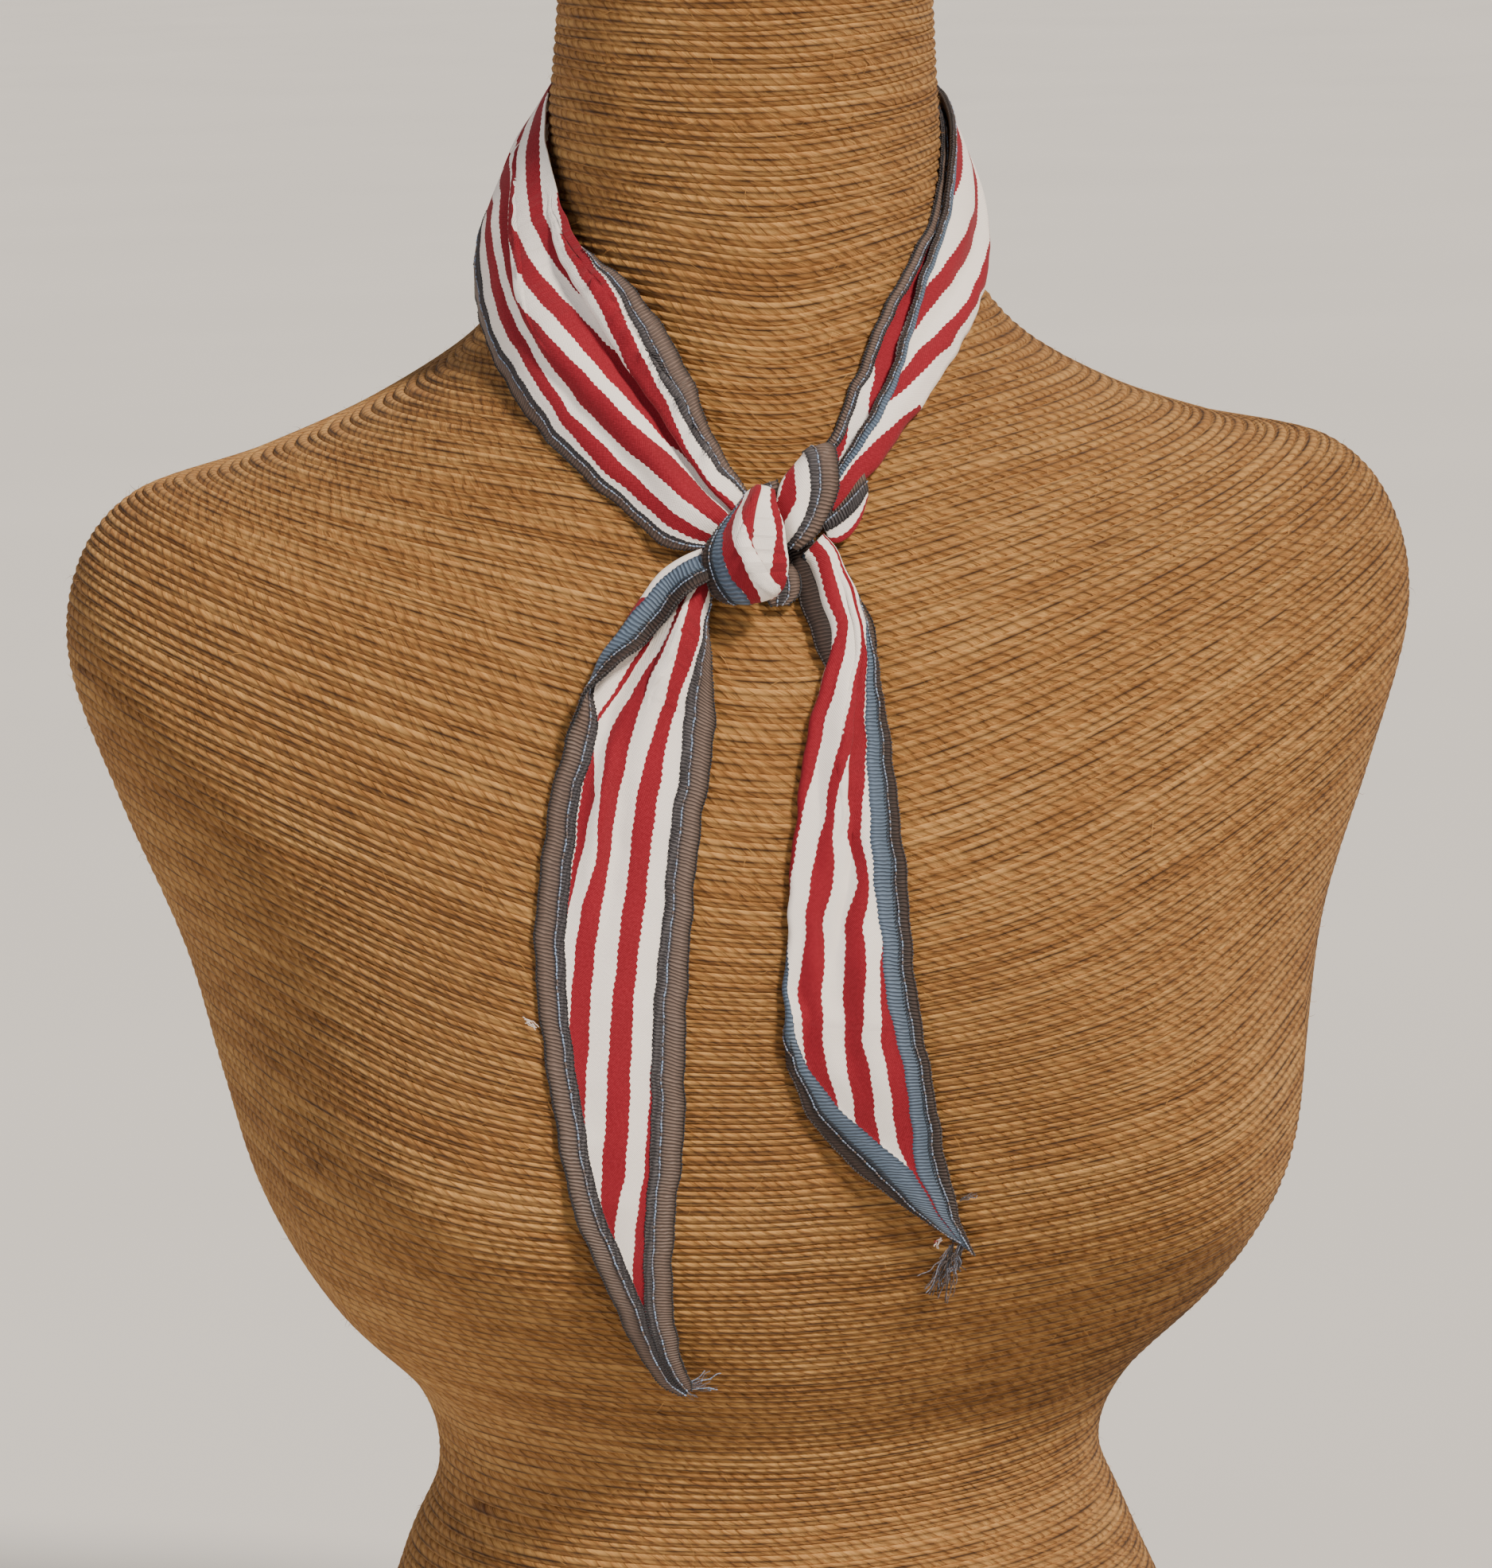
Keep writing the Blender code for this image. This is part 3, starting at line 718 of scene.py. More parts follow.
    def fibres(self, rope: bpy.types.Material, turns: np.ndarray, rows: np.ndarray) -> bpy.types.Object:
        """Scatter the loose fibres that stand off the rope.

        Args:
            rope: the rope's finish.
            turns: turn numbers.
            rows: the table's rows that they fall on.

        Returns:
            One object of fine ribbons.
        """
        rng = np.random.default_rng(11)
        count, steps = self.fibre_count, 5
        turn = rng.uniform(12, turns[-1] - 3, count)
        angle = rng.uniform(0, 2 * np.pi, count)
        spot = np.interp(turn, turns, rows)
        base = self.places(spot, angle)
        near, beside = self.places(spot + 0.02, angle), self.places(spot, angle + 0.002)
        along, down = unit(beside - base), unit(near - base)
        normal = unit(np.cross(down, along))
        normal *= np.where((normal * (base - [0, 5, 300])).sum(-1, keepdims=True) < 0, -1.0, 1.0)
        way = unit(along * rng.choice([-1, 1], (count, 1)) + down * rng.normal(0, 0.7, (count, 1)))
        length = rng.uniform(2.5, 8, (count, 1))
        rise = rng.uniform(0.15, 0.8, (count, 1))
        bend = rng.normal(0, 0.5, (count, 1))
        side = unit(np.cross(way, normal))
        points = []
        for i in range(steps):
            share = i / (steps - 1)
            spine = base + way * length * share + normal * (rise * length * share * (1 - 0.7 * share) - 0.3)
            spine = spine + side * bend * length * share * share
            taper = self.fibre_width * (1 - 0.8 * share)
            points += [spine - side * taper, spine + side * taper]
        points = np.stack(points, 1)
        quads = np.array([(2 * i, 2 * i + 1, 2 * i + 3, 2 * i + 2) for i in range(steps - 1)])
        faces = (np.arange(count)[:, None, None] * 2 * steps + quads[None]).reshape(-1, 4)
        uv = np.stack([rng.uniform(0, 1, count), np.zeros(count)], -1).repeat(2 * steps, axis=0)
        return mesh_object("rope_loose_fibres", points.reshape(-1, 3), faces, rope, uv=("Winding", uv))

    def board(self) -> bpy.types.Object:
        """Make the board that closes the form's underside.

        Returns:
            The board.
        """
        count = self.board_around
        angle = np.linspace(0, 2 * np.pi, count + 1)[:-1]
        rim = self.places(np.full(count, len(self.rings.rows) - 2.0), angle)
        outer = rim * [0.965, 0.965, 0] + [0, 0, 0.2]
        inner = rim * [0.95, 0.95, 0] + [0, 0, 4.0]
        points = np.vstack([outer, inner, [[0, 4, 0.2], [0, 4, 4.0]]])
        k = np.arange(count)
        n = (k + 1) % count
        middle, none = np.full(count, 2 * count), np.full(count, -1)
        faces = np.vstack([np.stack([k, n, n + count, k + count], 1), np.stack([n, k, middle, none], 1),
                           np.stack([k + count, n + count, middle + 1, none], 1)])
        return mesh_object("form_underside_board", points, faces, GreyBoard().material())


# The cloth


@dataclass(frozen=True)
class Crease:
    """A sharp lengthwise fold where one layer of the cloth lies over the next.

    Its rows give a place along, the share across where the fold shows, and how deep it is. The side is 1
    where the layer nearer the high edge lies on top, and -1 where the other does. The stripes on its two
    sides are read apart: after names the first border on the high side, and again says how many it marks
    anew."""

    rows: tuple[tuple[float, float, float], ...]
    after: str
    side: int = 1
    fade: float = 9.0
    again: int = 0

    def at(self, row: float) -> tuple[float, float]:
        """Find the fold's place across and its depth at a row."""
        rows = np.asarray(self.rows, float)
        return float(np.interp(row, rows[:, 0], rows[:, 1])), float(np.interp(row, rows[:, 0], rows[:, 2]))


@dataclass(frozen=True)
class Ridge:
    """A soft ridge, or a trough where its height is below zero.

    Its rows give a place along, the place across, the height and the width."""

    rows: tuple[tuple[float, float, float, float], ...]

    def rise(self, row: float, share: np.ndarray, shown: float) -> np.ndarray:
        """How far the cloth stands out at places across one section.

        Args:
            row: the section's place along the piece.
            share: places across.
            shown: the section's width.

        Returns:
            Heights, in millimetres.
        """
        rows = np.asarray(self.rows, float)
        at, tall, wide = (np.interp(row, rows[:, 0], rows[:, k]) for k in (1, 2, 3))
        fade = np.clip(min(row - rows[0, 0], rows[-1, 0] - row) + 0.6, 0, 1)
        return fade * tall * np.exp(-((share - at) * shown / max(wide, 0.5)) ** 2)


# The path across a crease, in depths of the crease: over, and out. It runs in under the upper layer and
# back to the fold that shows, which is at 0.
CREASE_PATH = ((-0.8, 0.0), (0.2, -0.03), (1.2, 0.0), (1.85, 0.12), (2.0, 0.35), (1.7, 0.52), (1.0, 0.55),
               (0.3, 0.6), (0.0, 0.78), (0.08, 1.0), (0.45, 1.12), (1.3, 1.12), (2.4, 1.08))
CREASE_SHUT = 2.4


# The sewing on each face of the band. A row of stitches has its depth in from the edge, its height off the
# cloth, its stitches' length and radius, and their tone. The rungs have the depth and height of each end,
# how many stitches they slant by, their radius and their tone.
FRONT_SEWING = (((0.2, 0.05, 0.72, 0.30, 0.0), (5.9, 0.16, 0.85, 0.25, 0.8), (8.35, 0.12, 0.62, 0.21, 0.05)),
                ((6.3, 0.06), (8.2, 0.06), 0, 0.17, 0.08))
REVERSE_SEWING = (((0.15, 0.05, 0.72, 0.30, 0.12), (3.0, 0.14, 0.82, 0.24, 0.75)),
                  ((3.2, 0.08), (4.3, 0.05), 1, 0.2, 0.0))


@dataclass(frozen=True)
class Wisp:
    """A bundle of loose threads at a cut corner: where it starts, how it hangs, and its tones."""

    start: tuple[float, float]
    end: tuple[float, float]
    threads: int
    curl: float
    stand_off: float
    tones: tuple[float, ...]
    radius: float = 0.13

    def lay(self, rods: Rods, tree: BVHTree, rng: np.random.Generator) -> None:
        """Lay the bundle as chains of short rods in front of the form.

        Args:
            rods: where they are gathered.
            tree: the form's surface.
            rng: where the threads' differences come from.
        """
        for _ in range(self.threads):
            share = np.linspace(0, 1, 15)
            spread = rng.normal(0, 0.16, 2) * np.linalg.norm(np.subtract(self.end, self.start))
            end = np.array(self.end) + spread
            line = np.array(self.start) + share[:, None] * (end - self.start)
            side = unit(np.array([self.end[1] - self.start[1], self.start[0] - self.end[0]], float))
            sway = sum(rng.normal(0, self.curl / k) * np.sin(share * math.pi * k + rng.uniform(0, 6))
                       for k in (1, 2, 3, 5))
            line = line + side * (sway * share)[:, None] + rng.normal(0, 0.25, 2)
            stand = self.stand_off + 0.5 * np.cumsum(rng.normal(0, 0.35, len(share)))
            points = []
            for (x, z), off in zip(line, stand):
                hit = tree.ray_cast(Vector((x, -AHEAD_OF_FORM, z)), Vector((0, 1, 0)))[0]
                points.append(np.array(hit) - [0, max(off, 0.5), 0])
            points = np.array(points)
            ends = points[1:] + (points[1:] - points[:-1]) * 0.1
            rods.lay(points[:-1], ends, self.radius, rng.choice(self.tones))


@dataclass
class Stretch:
    """One stretch of the cloth: its sections, folds, marks and stitches."""

    name: str
    node: str
    face: Face
    first: float
    last: float
    marks: Table
    step: float = 1.0
    spacing: float = 0.8
    creases: tuple[Crease, ...] = ()
    ridges: tuple[Ridge, ...] = ()
    flap: Table | None = None
    bands: tuple[bool, bool] = (True, True)
    flat: tuple[float, float] = (42.0, 200.0)
    cut: float = 1.0
    thin: float = 0.5
    rest: float = 0.35
    plump: float = 1.0
    flap_squeeze: float = 1.0
    bend_shows: float = 7.0
    wisps: tuple[Wisp, ...] = ()

    def edges(self, tree: BVHTree, row: float) -> dict:
        """Both edges of the cloth at a row. Each kind of stretch has its own."""
        raise NotImplementedError

    def frame(self, tree: BVHTree, row: float) -> dict:
        """The section's edges with its directions across, along and out.

        Args:
            tree: the form's surface.
            row: the place along the table.

        Returns:
            The edges and directions by name.
        """
        here = self.edges(tree, row)
        before, after = self.edges(tree, row - SLOPE_STEP), self.edges(tree, row + SLOPE_STEP)
        ahead = unit(after["low"] + after["high"] - before["low"] - before["high"])
        across = here["high"] - here["low"]
        shown = float(np.linalg.norm(across))
        across = across / shown
        out = unit(np.cross(across, ahead))
        if out @ here["outward"] < 0:
            out = -out
        return here | {"ahead": ahead, "across": across, "out": out, "shown": shown}

    def path(self, row: float, shown: float, counts: tuple[int, ...]) -> tuple[np.ndarray, ...]:
        """Lay the cloth's line across one section.

        Args:
            row: the place along the table.
            shown: the width that shows.
            counts: how many points each even run has.

        Returns:
            For each point: how far across, how far out, its share for the marks, and its way along a flap
            (below zero off the flap).
        """
        over, out, share, loose = [], [], [], []
        start = 0.0
        if self.flap:
            fold = self.flap.straight(row)
            angle, length = math.radians(fold["angle"]), self.flap_length(row, shown)
            way = np.linspace(0, length, FLAP_POINTS)
            bend = np.clip(way / max(fold["bend"], 0.3), 0, 1) * angle
            mean = (bend[1:] + bend[:-1]) / 2
            u = -np.concatenate([[0], np.cumsum(np.cos(mean) * np.diff(way))])
            h = np.concatenate([[0], np.cumsum(np.sin(mean) * np.diff(way))])
            start = max(0.0, -u.min())
            over += list((u + start)[::-1][:-1])
            out += list(h[::-1][:-1])
            share += [start / shown] * (len(way) - 1)
            loose += list((length - way)[::-1][:-1])
        cuts = [(crease.at(row), crease) for crease in self.creases]
        begin = start
        for number, count in enumerate(counts):
            if number < len(cuts):
                (place, deep), crease = cuts[number]
                steps = np.array(CREASE_PATH if crease.side > 0 else [(-a, b) for a, b in CREASE_PATH[::-1]])
                shut = 1 - min(deep / 0.5, 1) ** 2
                even = np.linspace(-CREASE_SHUT, CREASE_SHUT, len(steps))
                middle = min(max(place * shown, begin + 0.8), shown - 0.8)
                fold_over = middle + shut * even + (1 - shut) * deep * steps[:, 0]
                room = min(1.0, (middle - begin) / (middle - fold_over.min() + 0.3),
                           (shown - middle) / (fold_over.max() - middle + 0.3))
                fold_over = middle + (fold_over - middle) * room
                end = fold_over[0] - 0.1
            else:
                end = shown
            run = np.linspace(begin, max(end, begin + 0.05), count)
            over += list(run)
            out += [0.0] * count
            share += list(run / shown)
            loose += [-1.0] * count
            if number < len(cuts):
                turn = 6 if crease.side > 0 else len(steps) - 6
                before = np.minimum(fold_over[:turn] / shown, place - 0.001)
                behind = np.maximum(fold_over[turn:] / shown, place + 0.001)
                apart = np.concatenate([before, behind])
                over += list(fold_over)
                out += list((1 - shut) * deep * steps[:, 1])
                share += list(fold_over / shown if deep < 0.05 else apart)
                loose += [-1.0] * len(steps)
                begin = fold_over[-1] + 0.1
        return tuple(np.asarray(values) for values in (over, out, share, loose))

    def flap_length(self, row: float, shown: float) -> float:
        """How wide the folded part is at a row, in millimetres."""
        return self.flap.straight(row)["length"]

    def lift(self, row: float, over: np.ndarray, shown: float, crown: float) -> np.ndarray:
        """How far the cloth's main line stands out between its edges.

        Args:
            row: the place along the table.
            over: how far across each point is.
            shown: the width that shows.
            crown: the height between the edges.

        Returns:
            Heights, in millimetres.
        """
        s = np.clip(over / shown, 0, 1)
        rise = crown * np.sin(np.pi * s)
        for ridge in self.ridges:
            rise = rise + ridge.rise(row, s, shown)
        for crease in self.creases:
            place, deep = crease.at(row)
            off = (s - place) * shown * crease.side
            near = 2.4 * deep
            rise = rise + 1.08 * deep * np.where(off > near, np.exp(-((off - near) / crease.fade) ** 2), 0)
        return rise

    def sections(self, tree: BVHTree) -> tuple[np.ndarray, dict[str, np.ndarray]]:
        """Lay every section.

        Args:
            tree: the form's surface.

        Returns:
            The grid of middle points, and the numbers that the finish reads, by name.
        """
        rows = np.linspace(self.first, self.last, 4 * max(2, round(abs(self.last - self.first))) + 1)
        frames = [self.frame(tree, row) for row in rows]
        middles = np.array([(f["low"] + f["high"]) / 2 for f in frames])
        length = way_along(middles)
        count = max(6, round(length[-1] / self.step))
        downs = np.linspace(0, length[-1], count + 1)
        rows = np.interp(downs, length, rows)
        widest = max(f["shown"] for f in frames)
        runs = len(self.creases) + 1
        counts = (max(6, round(widest / self.spacing / runs)),) * runs
        grid, stripe, edge, arcs = [], [], [], []
        for row, down in zip(rows, downs):
            f = self.frame(tree, row)
            wander = [0.22 * math.sin(down / 2.9 + k) + 0.18 * math.sin(down / 1.7 + 3 * k)
                      for k in (len(self.name), 2)]
            f["low"] = f["low"] - f["across"] * wander[0]
            f["shown"] += wander[0] + wander[1]
            over, out, share, loose = self.path(row, f["shown"], counts)
            rise = self.lift(row, over, f["shown"], f["crown"])
            below = max(0.0, -out.min())
            line = []
            for u, r, h in zip(over, rise, out):
                spot = f["low"] + f["across"] * u + f["out"] * r
                near = 1 - min(max((u - self.doubled_to(row)) / 6, 0), 1)
                spot = self.cleared(tree, spot, self.rest + below * near * near * (3 - 2 * near))
                line.append(self.cleared(tree, spot + f["out"] * h, self.rest))
            phase, rim = self.read_marks(row, self.marks.straight(row), share, loose, f["shown"])
            grid.append(line)
            stripe.append(phase)
            edge.append(rim)
            arcs.append(way_along(np.array(line)))
        values = {"stripe": np.array(stripe), "edge": np.array(edge), "over": np.array(arcs),
                  "down": np.broadcast_to(downs[:, None], np.array(arcs).shape)}
        return np.array(grid), values

    def doubled_to(self, row: float) -> float:
        """How far across the cloth lies double, in millimetres."""
        fold = self.flap.straight(row) if self.flap else {"angle": 0.0}
        return fold["length"] if fold["angle"] < -90 else 0.0

    def cleared(self, tree: BVHTree, point: np.ndarray, reach: float) -> np.ndarray:
        """Move a point off the form where it lies nearer than reach.

        Args:
            tree: the form's surface.
            point: the point.
            reach: the least distance.

        Returns:
            The point, moved or not.
        """
        at = Vector(point)
        spot, normal, _, far = tree.find_nearest(at)
        if (at - spot).dot(normal) < 0:
            far = -far
        return point if far >= reach else np.array(spot + normal * reach)

    def read_marks(self, row: float, mark: dict[str, float], share: np.ndarray, loose: np.ndarray,
                   shown: float) -> tuple[np.ndarray, np.ndarray]:
        """Turn the marks at a row into the numbers that the finish reads.

        Args:
            row: the place along the table.
            mark: the marks' places across.
            share: each point's share for the marks.
            loose: each point's way along a flap, below zero off it.
            shown: the width that shows.

        Returns:
            The stripe's phase, and the distance in from the nearest outer edge.
        """
        stripe = self.stripe_phases(row, mark, share, shown)
        rim = np.full(len(share), OFF_BAND)
        low, high, top = mark.get("low", 0.0), mark.get("high", 1.0), mark.get("top", 1.0)
        if self.bands[0] and low > 0.004:
            rim = np.minimum(rim, np.where(share < low, share / low * BAND, BAND + (share - low) * shown))
        if self.bands[1] and high < top - 0.004:
            band = (top - share) / (top - high) * BAND
            rim = np.minimum(rim, np.where(share > high, band, BAND + (high - share) * shown))
        if self.flap:
            on = loose >= 0
            rim = np.where(on, np.minimum(loose * self.flap_squeeze, 30), rim)
            base = stripe[np.argmin(np.where(on, np.inf, share))]
            bent = self.flap_length(row, shown) - loose
            under = base - bent / STRIPE_PAIR
            if "under" in mark:
                under = np.where(bent < self.bend_shows, base, mark["under"] + loose / STRIPE_PAIR)
            stripe = np.where(on, under, stripe)
        return stripe, np.maximum(rim, 0)

    def stripe_phases(self, row: float, mark: dict[str, float], share: np.ndarray,
                      shown: float) -> np.ndarray:
        """Read the stripes between their borders, apart on the two sides of a crease.

        Args:
            row: the place along the table.
            mark: the marks' places across.
            share: each point's share for the marks.
            shown: the width that shows.

        Returns:
            Each point's phase, which counts a red and a white stripe as one.
        """
        pace = shown / STRIPE_PAIR
        limits, groups = [-OFF_BAND], [[]]
        number = skipped = 0
        for name in (name for name in self.marks.names if name not in NOT_STRIPES):
            for crease in self.creases:
                if crease.after == name:
                    number -= crease.again
                    place, depth = crease.at(row)
                    if depth < 0.05:
                        skipped = crease.again
                    else:
                        limits.append(place)
                        groups.append([])
            if skipped:
                skipped -= 1
            else:
                groups[-1].append((mark[name], 0.5 * number))
            number += 1
        stripe = np.zeros(len(share))
        for group, near, far in zip(groups, limits, [*limits[1:], OFF_BAND]):
            places, phases = np.array(group).T
            places = np.maximum.accumulate(places + np.arange(len(places)) * 1e-5)
            part = np.interp(share, places, phases)
            part = np.where(share < places[0], phases[0] - (places[0] - share) * pace, part)
            part = np.where(share > places[-1], phases[-1] + (share - places[-1]) * pace, part)
            stripe = np.where((share > near) & (share <= far), part, stripe)
        return stripe

    def thickness(self, edge: np.ndarray) -> np.ndarray:
        """The shell's thickness: thin cloth, and a plump overlocked band with a round outer edge."""
        rim = np.clip(edge / 0.9, 0, 1)
        band = 0.35 + 0.75 * self.plump * np.sqrt(1 - (1 - rim) ** 2)
        inner = np.clip((edge - 8.2) / 0.7, 0, 1)
        return band * (1 - inner) + self.thin * inner

    def relax(self, grid: np.ndarray) -> np.ndarray:
        """Even out small steps between neighbouring sections."""
        for _ in range(2):
            grid[1:-1] = grid[1:-1] * 0.5 + (grid[2:] + grid[:-2]) * 0.25
        return grid

    def build(self, tree: BVHTree, cloth: bpy.types.Material, thread: bpy.types.Material) -> None:
        """Build the cloth and its stitches, hang them on the root and hide the part of the frame that they
        replace.

        Args:
            tree: the form's surface.
            cloth: the cloth's finish.
            thread: the stitches' finish.
        """
        grid, values = self.sections(tree)
        grid = self.relax(grid)
        normal = grid_normals(grid)
        long, wide = grid.shape[:2]
        halfway = self.first + (self.last - self.first) * (long // 2) / (long - 1)
        swap = normal[long // 2, -max(4, wide // 4):].mean(0) @ self.frame(tree, halfway)["out"] < 0
        if swap:
            normal = -normal
        half = self.thickness(values["edge"])[..., None] / 2
        points = np.vstack([(grid + normal * half).reshape(-1, 3), (grid - normal * half).reshape(-1, 3)])
        base = long * wide
        faces = [grid_faces(long, wide, flip=swap), grid_faces(long, wide, base, flip=not swap)]
        rim = np.concatenate([np.arange(wide), np.arange(1, long) * wide + wide - 1,
                              (long - 1) * wide + np.arange(wide - 2, -1, -1),
                              np.arange(long - 2, -1, -1) * wide])
        nxt = np.roll(rim, -1)
        closing = np.stack([rim, rim + base, nxt + base, nxt], 1)
        faces.append(closing[:, ::-1] if swap else closing)
        both = {key: np.tile(values[key].ravel(), 2) for key in ("stripe", "edge")}
        both["reverse"] = np.repeat([self.face.value, 1 - self.face.value], base)
        uv = np.tile(np.stack([values["over"], values["down"]], -1).reshape(-1, 2) * MM, (2, 1))
        made = mesh_object(self.name, points, np.vstack(faces), cloth, both, ("Thread", uv))
        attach(made, "root")
        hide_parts(self.node)
        sewn = self.stitches(tree, grid, normal, values, thread)

    def line_at(self, grid: np.ndarray, edge: np.ndarray, lift: np.ndarray, depth: float, high: bool,
                rows: np.ndarray) -> np.ndarray:
        """A line along the band at a depth in from its outer edge.

        Args:
            grid: the points to lie on.
            edge: each point's distance in from the outer edge.
            lift: offsets that stand the line off the points.
            depth: how far in.
            high: whether it is the high edge's band.
            rows: the rows where that band shows.

        Returns:
            One point for each of those rows.
        """
        line = []
        for i in rows:
            numbers = np.arange(grid.shape[1])
            half = numbers[::-1] if high else numbers
            rim = edge[i, half]
            stop = int(np.argmax(rim > BAND)) if (rim > BAND).any() else len(rim)
            rim, half = rim[:max(stop, 2) + 1], half[:max(stop, 2) + 1]
            order = np.maximum.accumulate(rim + np.arange(len(rim)) * 1e-6)
            spot = (grid + lift)[i, half]
            line.append([np.interp(depth, order, spot[:, a]) for a in range(3)])
        return np.array(line)

    def stitches(self, tree: BVHTree, grid: np.ndarray, normal: np.ndarray, values: dict[str, np.ndarray],
                 thread: bpy.types.Material) -> bpy.types.Object | None:
        """Sew the loops, chains and rungs of the overlocked edges.

        Args:
            tree: the form's surface.
            grid: the cloth's middle points.
            normal: their normals.
            values: the numbers laid on them.
            thread: the finish.

        Returns:
            The stitches as one object, or None where no edge is sewn.
        """
        rods = Rods()
        half = self.thickness(values["edge"])[..., None] / 2
        for high in (False, True):
            rows = np.where(values["edge"][:, -1 if high else 0] < 0.6)[0]
            folded = bool(self.flap) and not high
            if len(rows) < 4 or not (self.bands[high] or folded):
                continue
            # The inner face shows only where its edge is folded over.
            for sign in (1.0, -1.0) if folded else (1.0,):
                reverse = (self.face is Face.REVERSE) == (sign > 0)
                self.sew(rods, grid, normal * sign, half, values, high, rows, reverse)
        rng = np.random.default_rng(5)
        for wisp in self.wisps:
            wisp.lay(rods, tree, rng)
        if not rods.starts:
            return None
        sewn = rods.mesh(self.name + "_overlock", thread)
        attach(sewn, "root")
        return sewn

    def sew(self, rods: Rods, grid: np.ndarray, normal: np.ndarray, half: np.ndarray,
            values: dict[str, np.ndarray], high: bool, rows: np.ndarray, reverse: bool) -> None:
        """Lay one face's rows of stitches along one edge.

        Args:
            rods: where the stitches are gathered.
            grid: the cloth's middle points.
            normal: normals on this face.
            half: half the thickness.
            values: the numbers laid on the points.
            high: whether it is the high edge.
            rows: the rows where the band shows.
            reverse: whether this face is the cloth's reverse.
        """
        edge = values["edge"]
        surface = grid + normal * half

        def run(depth: float, off: float) -> np.ndarray:
            """A line of evenly spaced points at a depth and a height off the cloth."""
            line = self.line_at(surface, edge, normal * off, depth, high, rows)
            steps = way_along(line)
            places = np.linspace(0, steps[-1], max(2, int(base_length / STITCH)))
            return np.stack([np.interp(places, steps, line[:, a]) for a in range(3)], -1)

        guide = self.line_at(surface, edge, normal * 0, 3.0, high, rows)
        base_length = float(np.linalg.norm(np.diff(guide, axis=0), axis=-1).sum())
        if base_length < 4:
            return
        rng = np.random.default_rng(len(self.name) + 2 * high + reverse)
        stitch_rows, rungs = REVERSE_SEWING if reverse else FRONT_SEWING
        for depth, off, size, thick, tone in stitch_rows:
            self.beads(rods, run(depth, off), size, thick, tone, rng)
        inner, outer, slant, thick, tone = rungs
        starts, ends = run(*inner), run(*outer)
        rods.lay(starts[:len(starts) - slant], ends[slant:], thick, tone)

    def beads(self, rods: Rods, line: np.ndarray, long: float, thick: float, tone: float,
              rng: np.random.Generator) -> None:
        """Lay a row of short stitches along a line.

        Args:
            rods: where they are gathered.
            line: the places, a stitch each.
            long: a stitch's length.
            thick: its radius.
            tone: its mean tone.
            rng: where small differences come from.
        """
        ahead = unit(np.gradient(line, axis=0))
        wander = rng.normal(0, 0.05, line.shape)
        tones = np.clip(tone + rng.uniform(-0.35, 0.25, len(line)) * (tone > 0.3), 0, 1)
        rods.lay(line - ahead * long / 2 + wander, line + ahead * long / 2 + wander, thick, tones)


@dataclass
class NeckStretch(Stretch):
    """A stretch of the loop round the neck."""

    axis: tuple[float, float] = (0, 10)
    tilt: float = 60
    loop: Table = Table(
        "low_x low_y low_z high_x high_y high_z crown",
        (
            (-23, -84, 439, -11, -79, 452, 2), (-33, -83, 440, -15, -76, 460, 3),
            (-42, -75, 448, -19, -69, 469, 4), (-53, -66, 458, -22, -62, 481, 4),
            (-62, -54, 467, -28, -53, 495, 4), (-69, -40, 477, -36, -45, 507, 4),
            (-74, -15, 489, -46, -32, 516, 4), (-75, 8, 500, -51, -18, 528, 4),
            (-73, 22, 506, -53, -2, 544, 4), (-69, 34, 512, -50.5, 14, 555, 3),
            (-58, 48, 520, -45, 34, 560, 3), (-43, 62, 526, -35, 51, 562, 3),
            (-23, 76, 529, -21, 69, 564, 3), (0, 81, 531, 0, 72, 567, 3), (23, 78, 532, 22, 69, 566, 3),
            (43, 67, 534, 41, 57, 563, 3), (58, 52, 537, 50, 40, 561, 2), (67, 35, 537, 58, 23, 557, 2),
            (70, 24, 531, 60, 10, 552, 2), (72, 10, 519, 60, -4, 545, 2), (71, -2, 508, 58, -17, 535, 2),
            (67, -18, 500, 53, -29, 521, 2), (61, -35, 492, 43, -44, 508, 2),
            (53, -48, 484, 33, -54, 496, 2), (43, -60, 474, 27, -61, 485, 2),
            (31, -71, 463, 20, -67, 474, 2), (24, -76, 456, 14.5, -72, 465, 1),
            (12.5, -81.5, 446.5, 7.5, -78, 455, 1),
        ))

    def edges(self, tree: BVHTree, row: float) -> dict:
        """Both edges of the loop at a row.

        Args:
            tree: the form's surface; not used.
            row: the place along the table.

        Returns:
            The edges, the crown and the way out.
        """
        v = self.loop.smooth(row)
        low, high = (np.array([v[side + "_" + way] for way in "xyz"]) for side in ("low", "high"))
        outward = (low + high) / 2 - np.array([*self.axis, low[2] - self.tilt])
        return {"low": low, "high": high, "outward": outward, "crown": v["crown"]}


@dataclass
class TailStretch(Stretch):
    """A tail of the scarf, hanging down the chest."""

    side: Table | None = None
    wall: float = 1.25

    def edges(self, tree: BVHTree, row: float) -> dict:
        """Both edges of the tail at a row, at its lift off the form's front.

        Args:
            tree: the form's surface.
            row: the place along the table.

        Returns:
            The edges, the crown and the way out.
        """
        v = self.side.smooth(row)
        found = []
        for x, z in ((v["left_x"], v["left_z"]), (v["right_x"], v["right_z"])):
            spot = tree.ray_cast(Vector((x, -AHEAD_OF_FORM, z)), Vector((0, 1, 0)))[0]
            found.append(np.array(spot) - [0, v["lift"] + self.wall, 0])
        return {"low": found[0], "high": found[1], "outward": np.array([0, -1.0, 0]), "crown": v["crown"]}


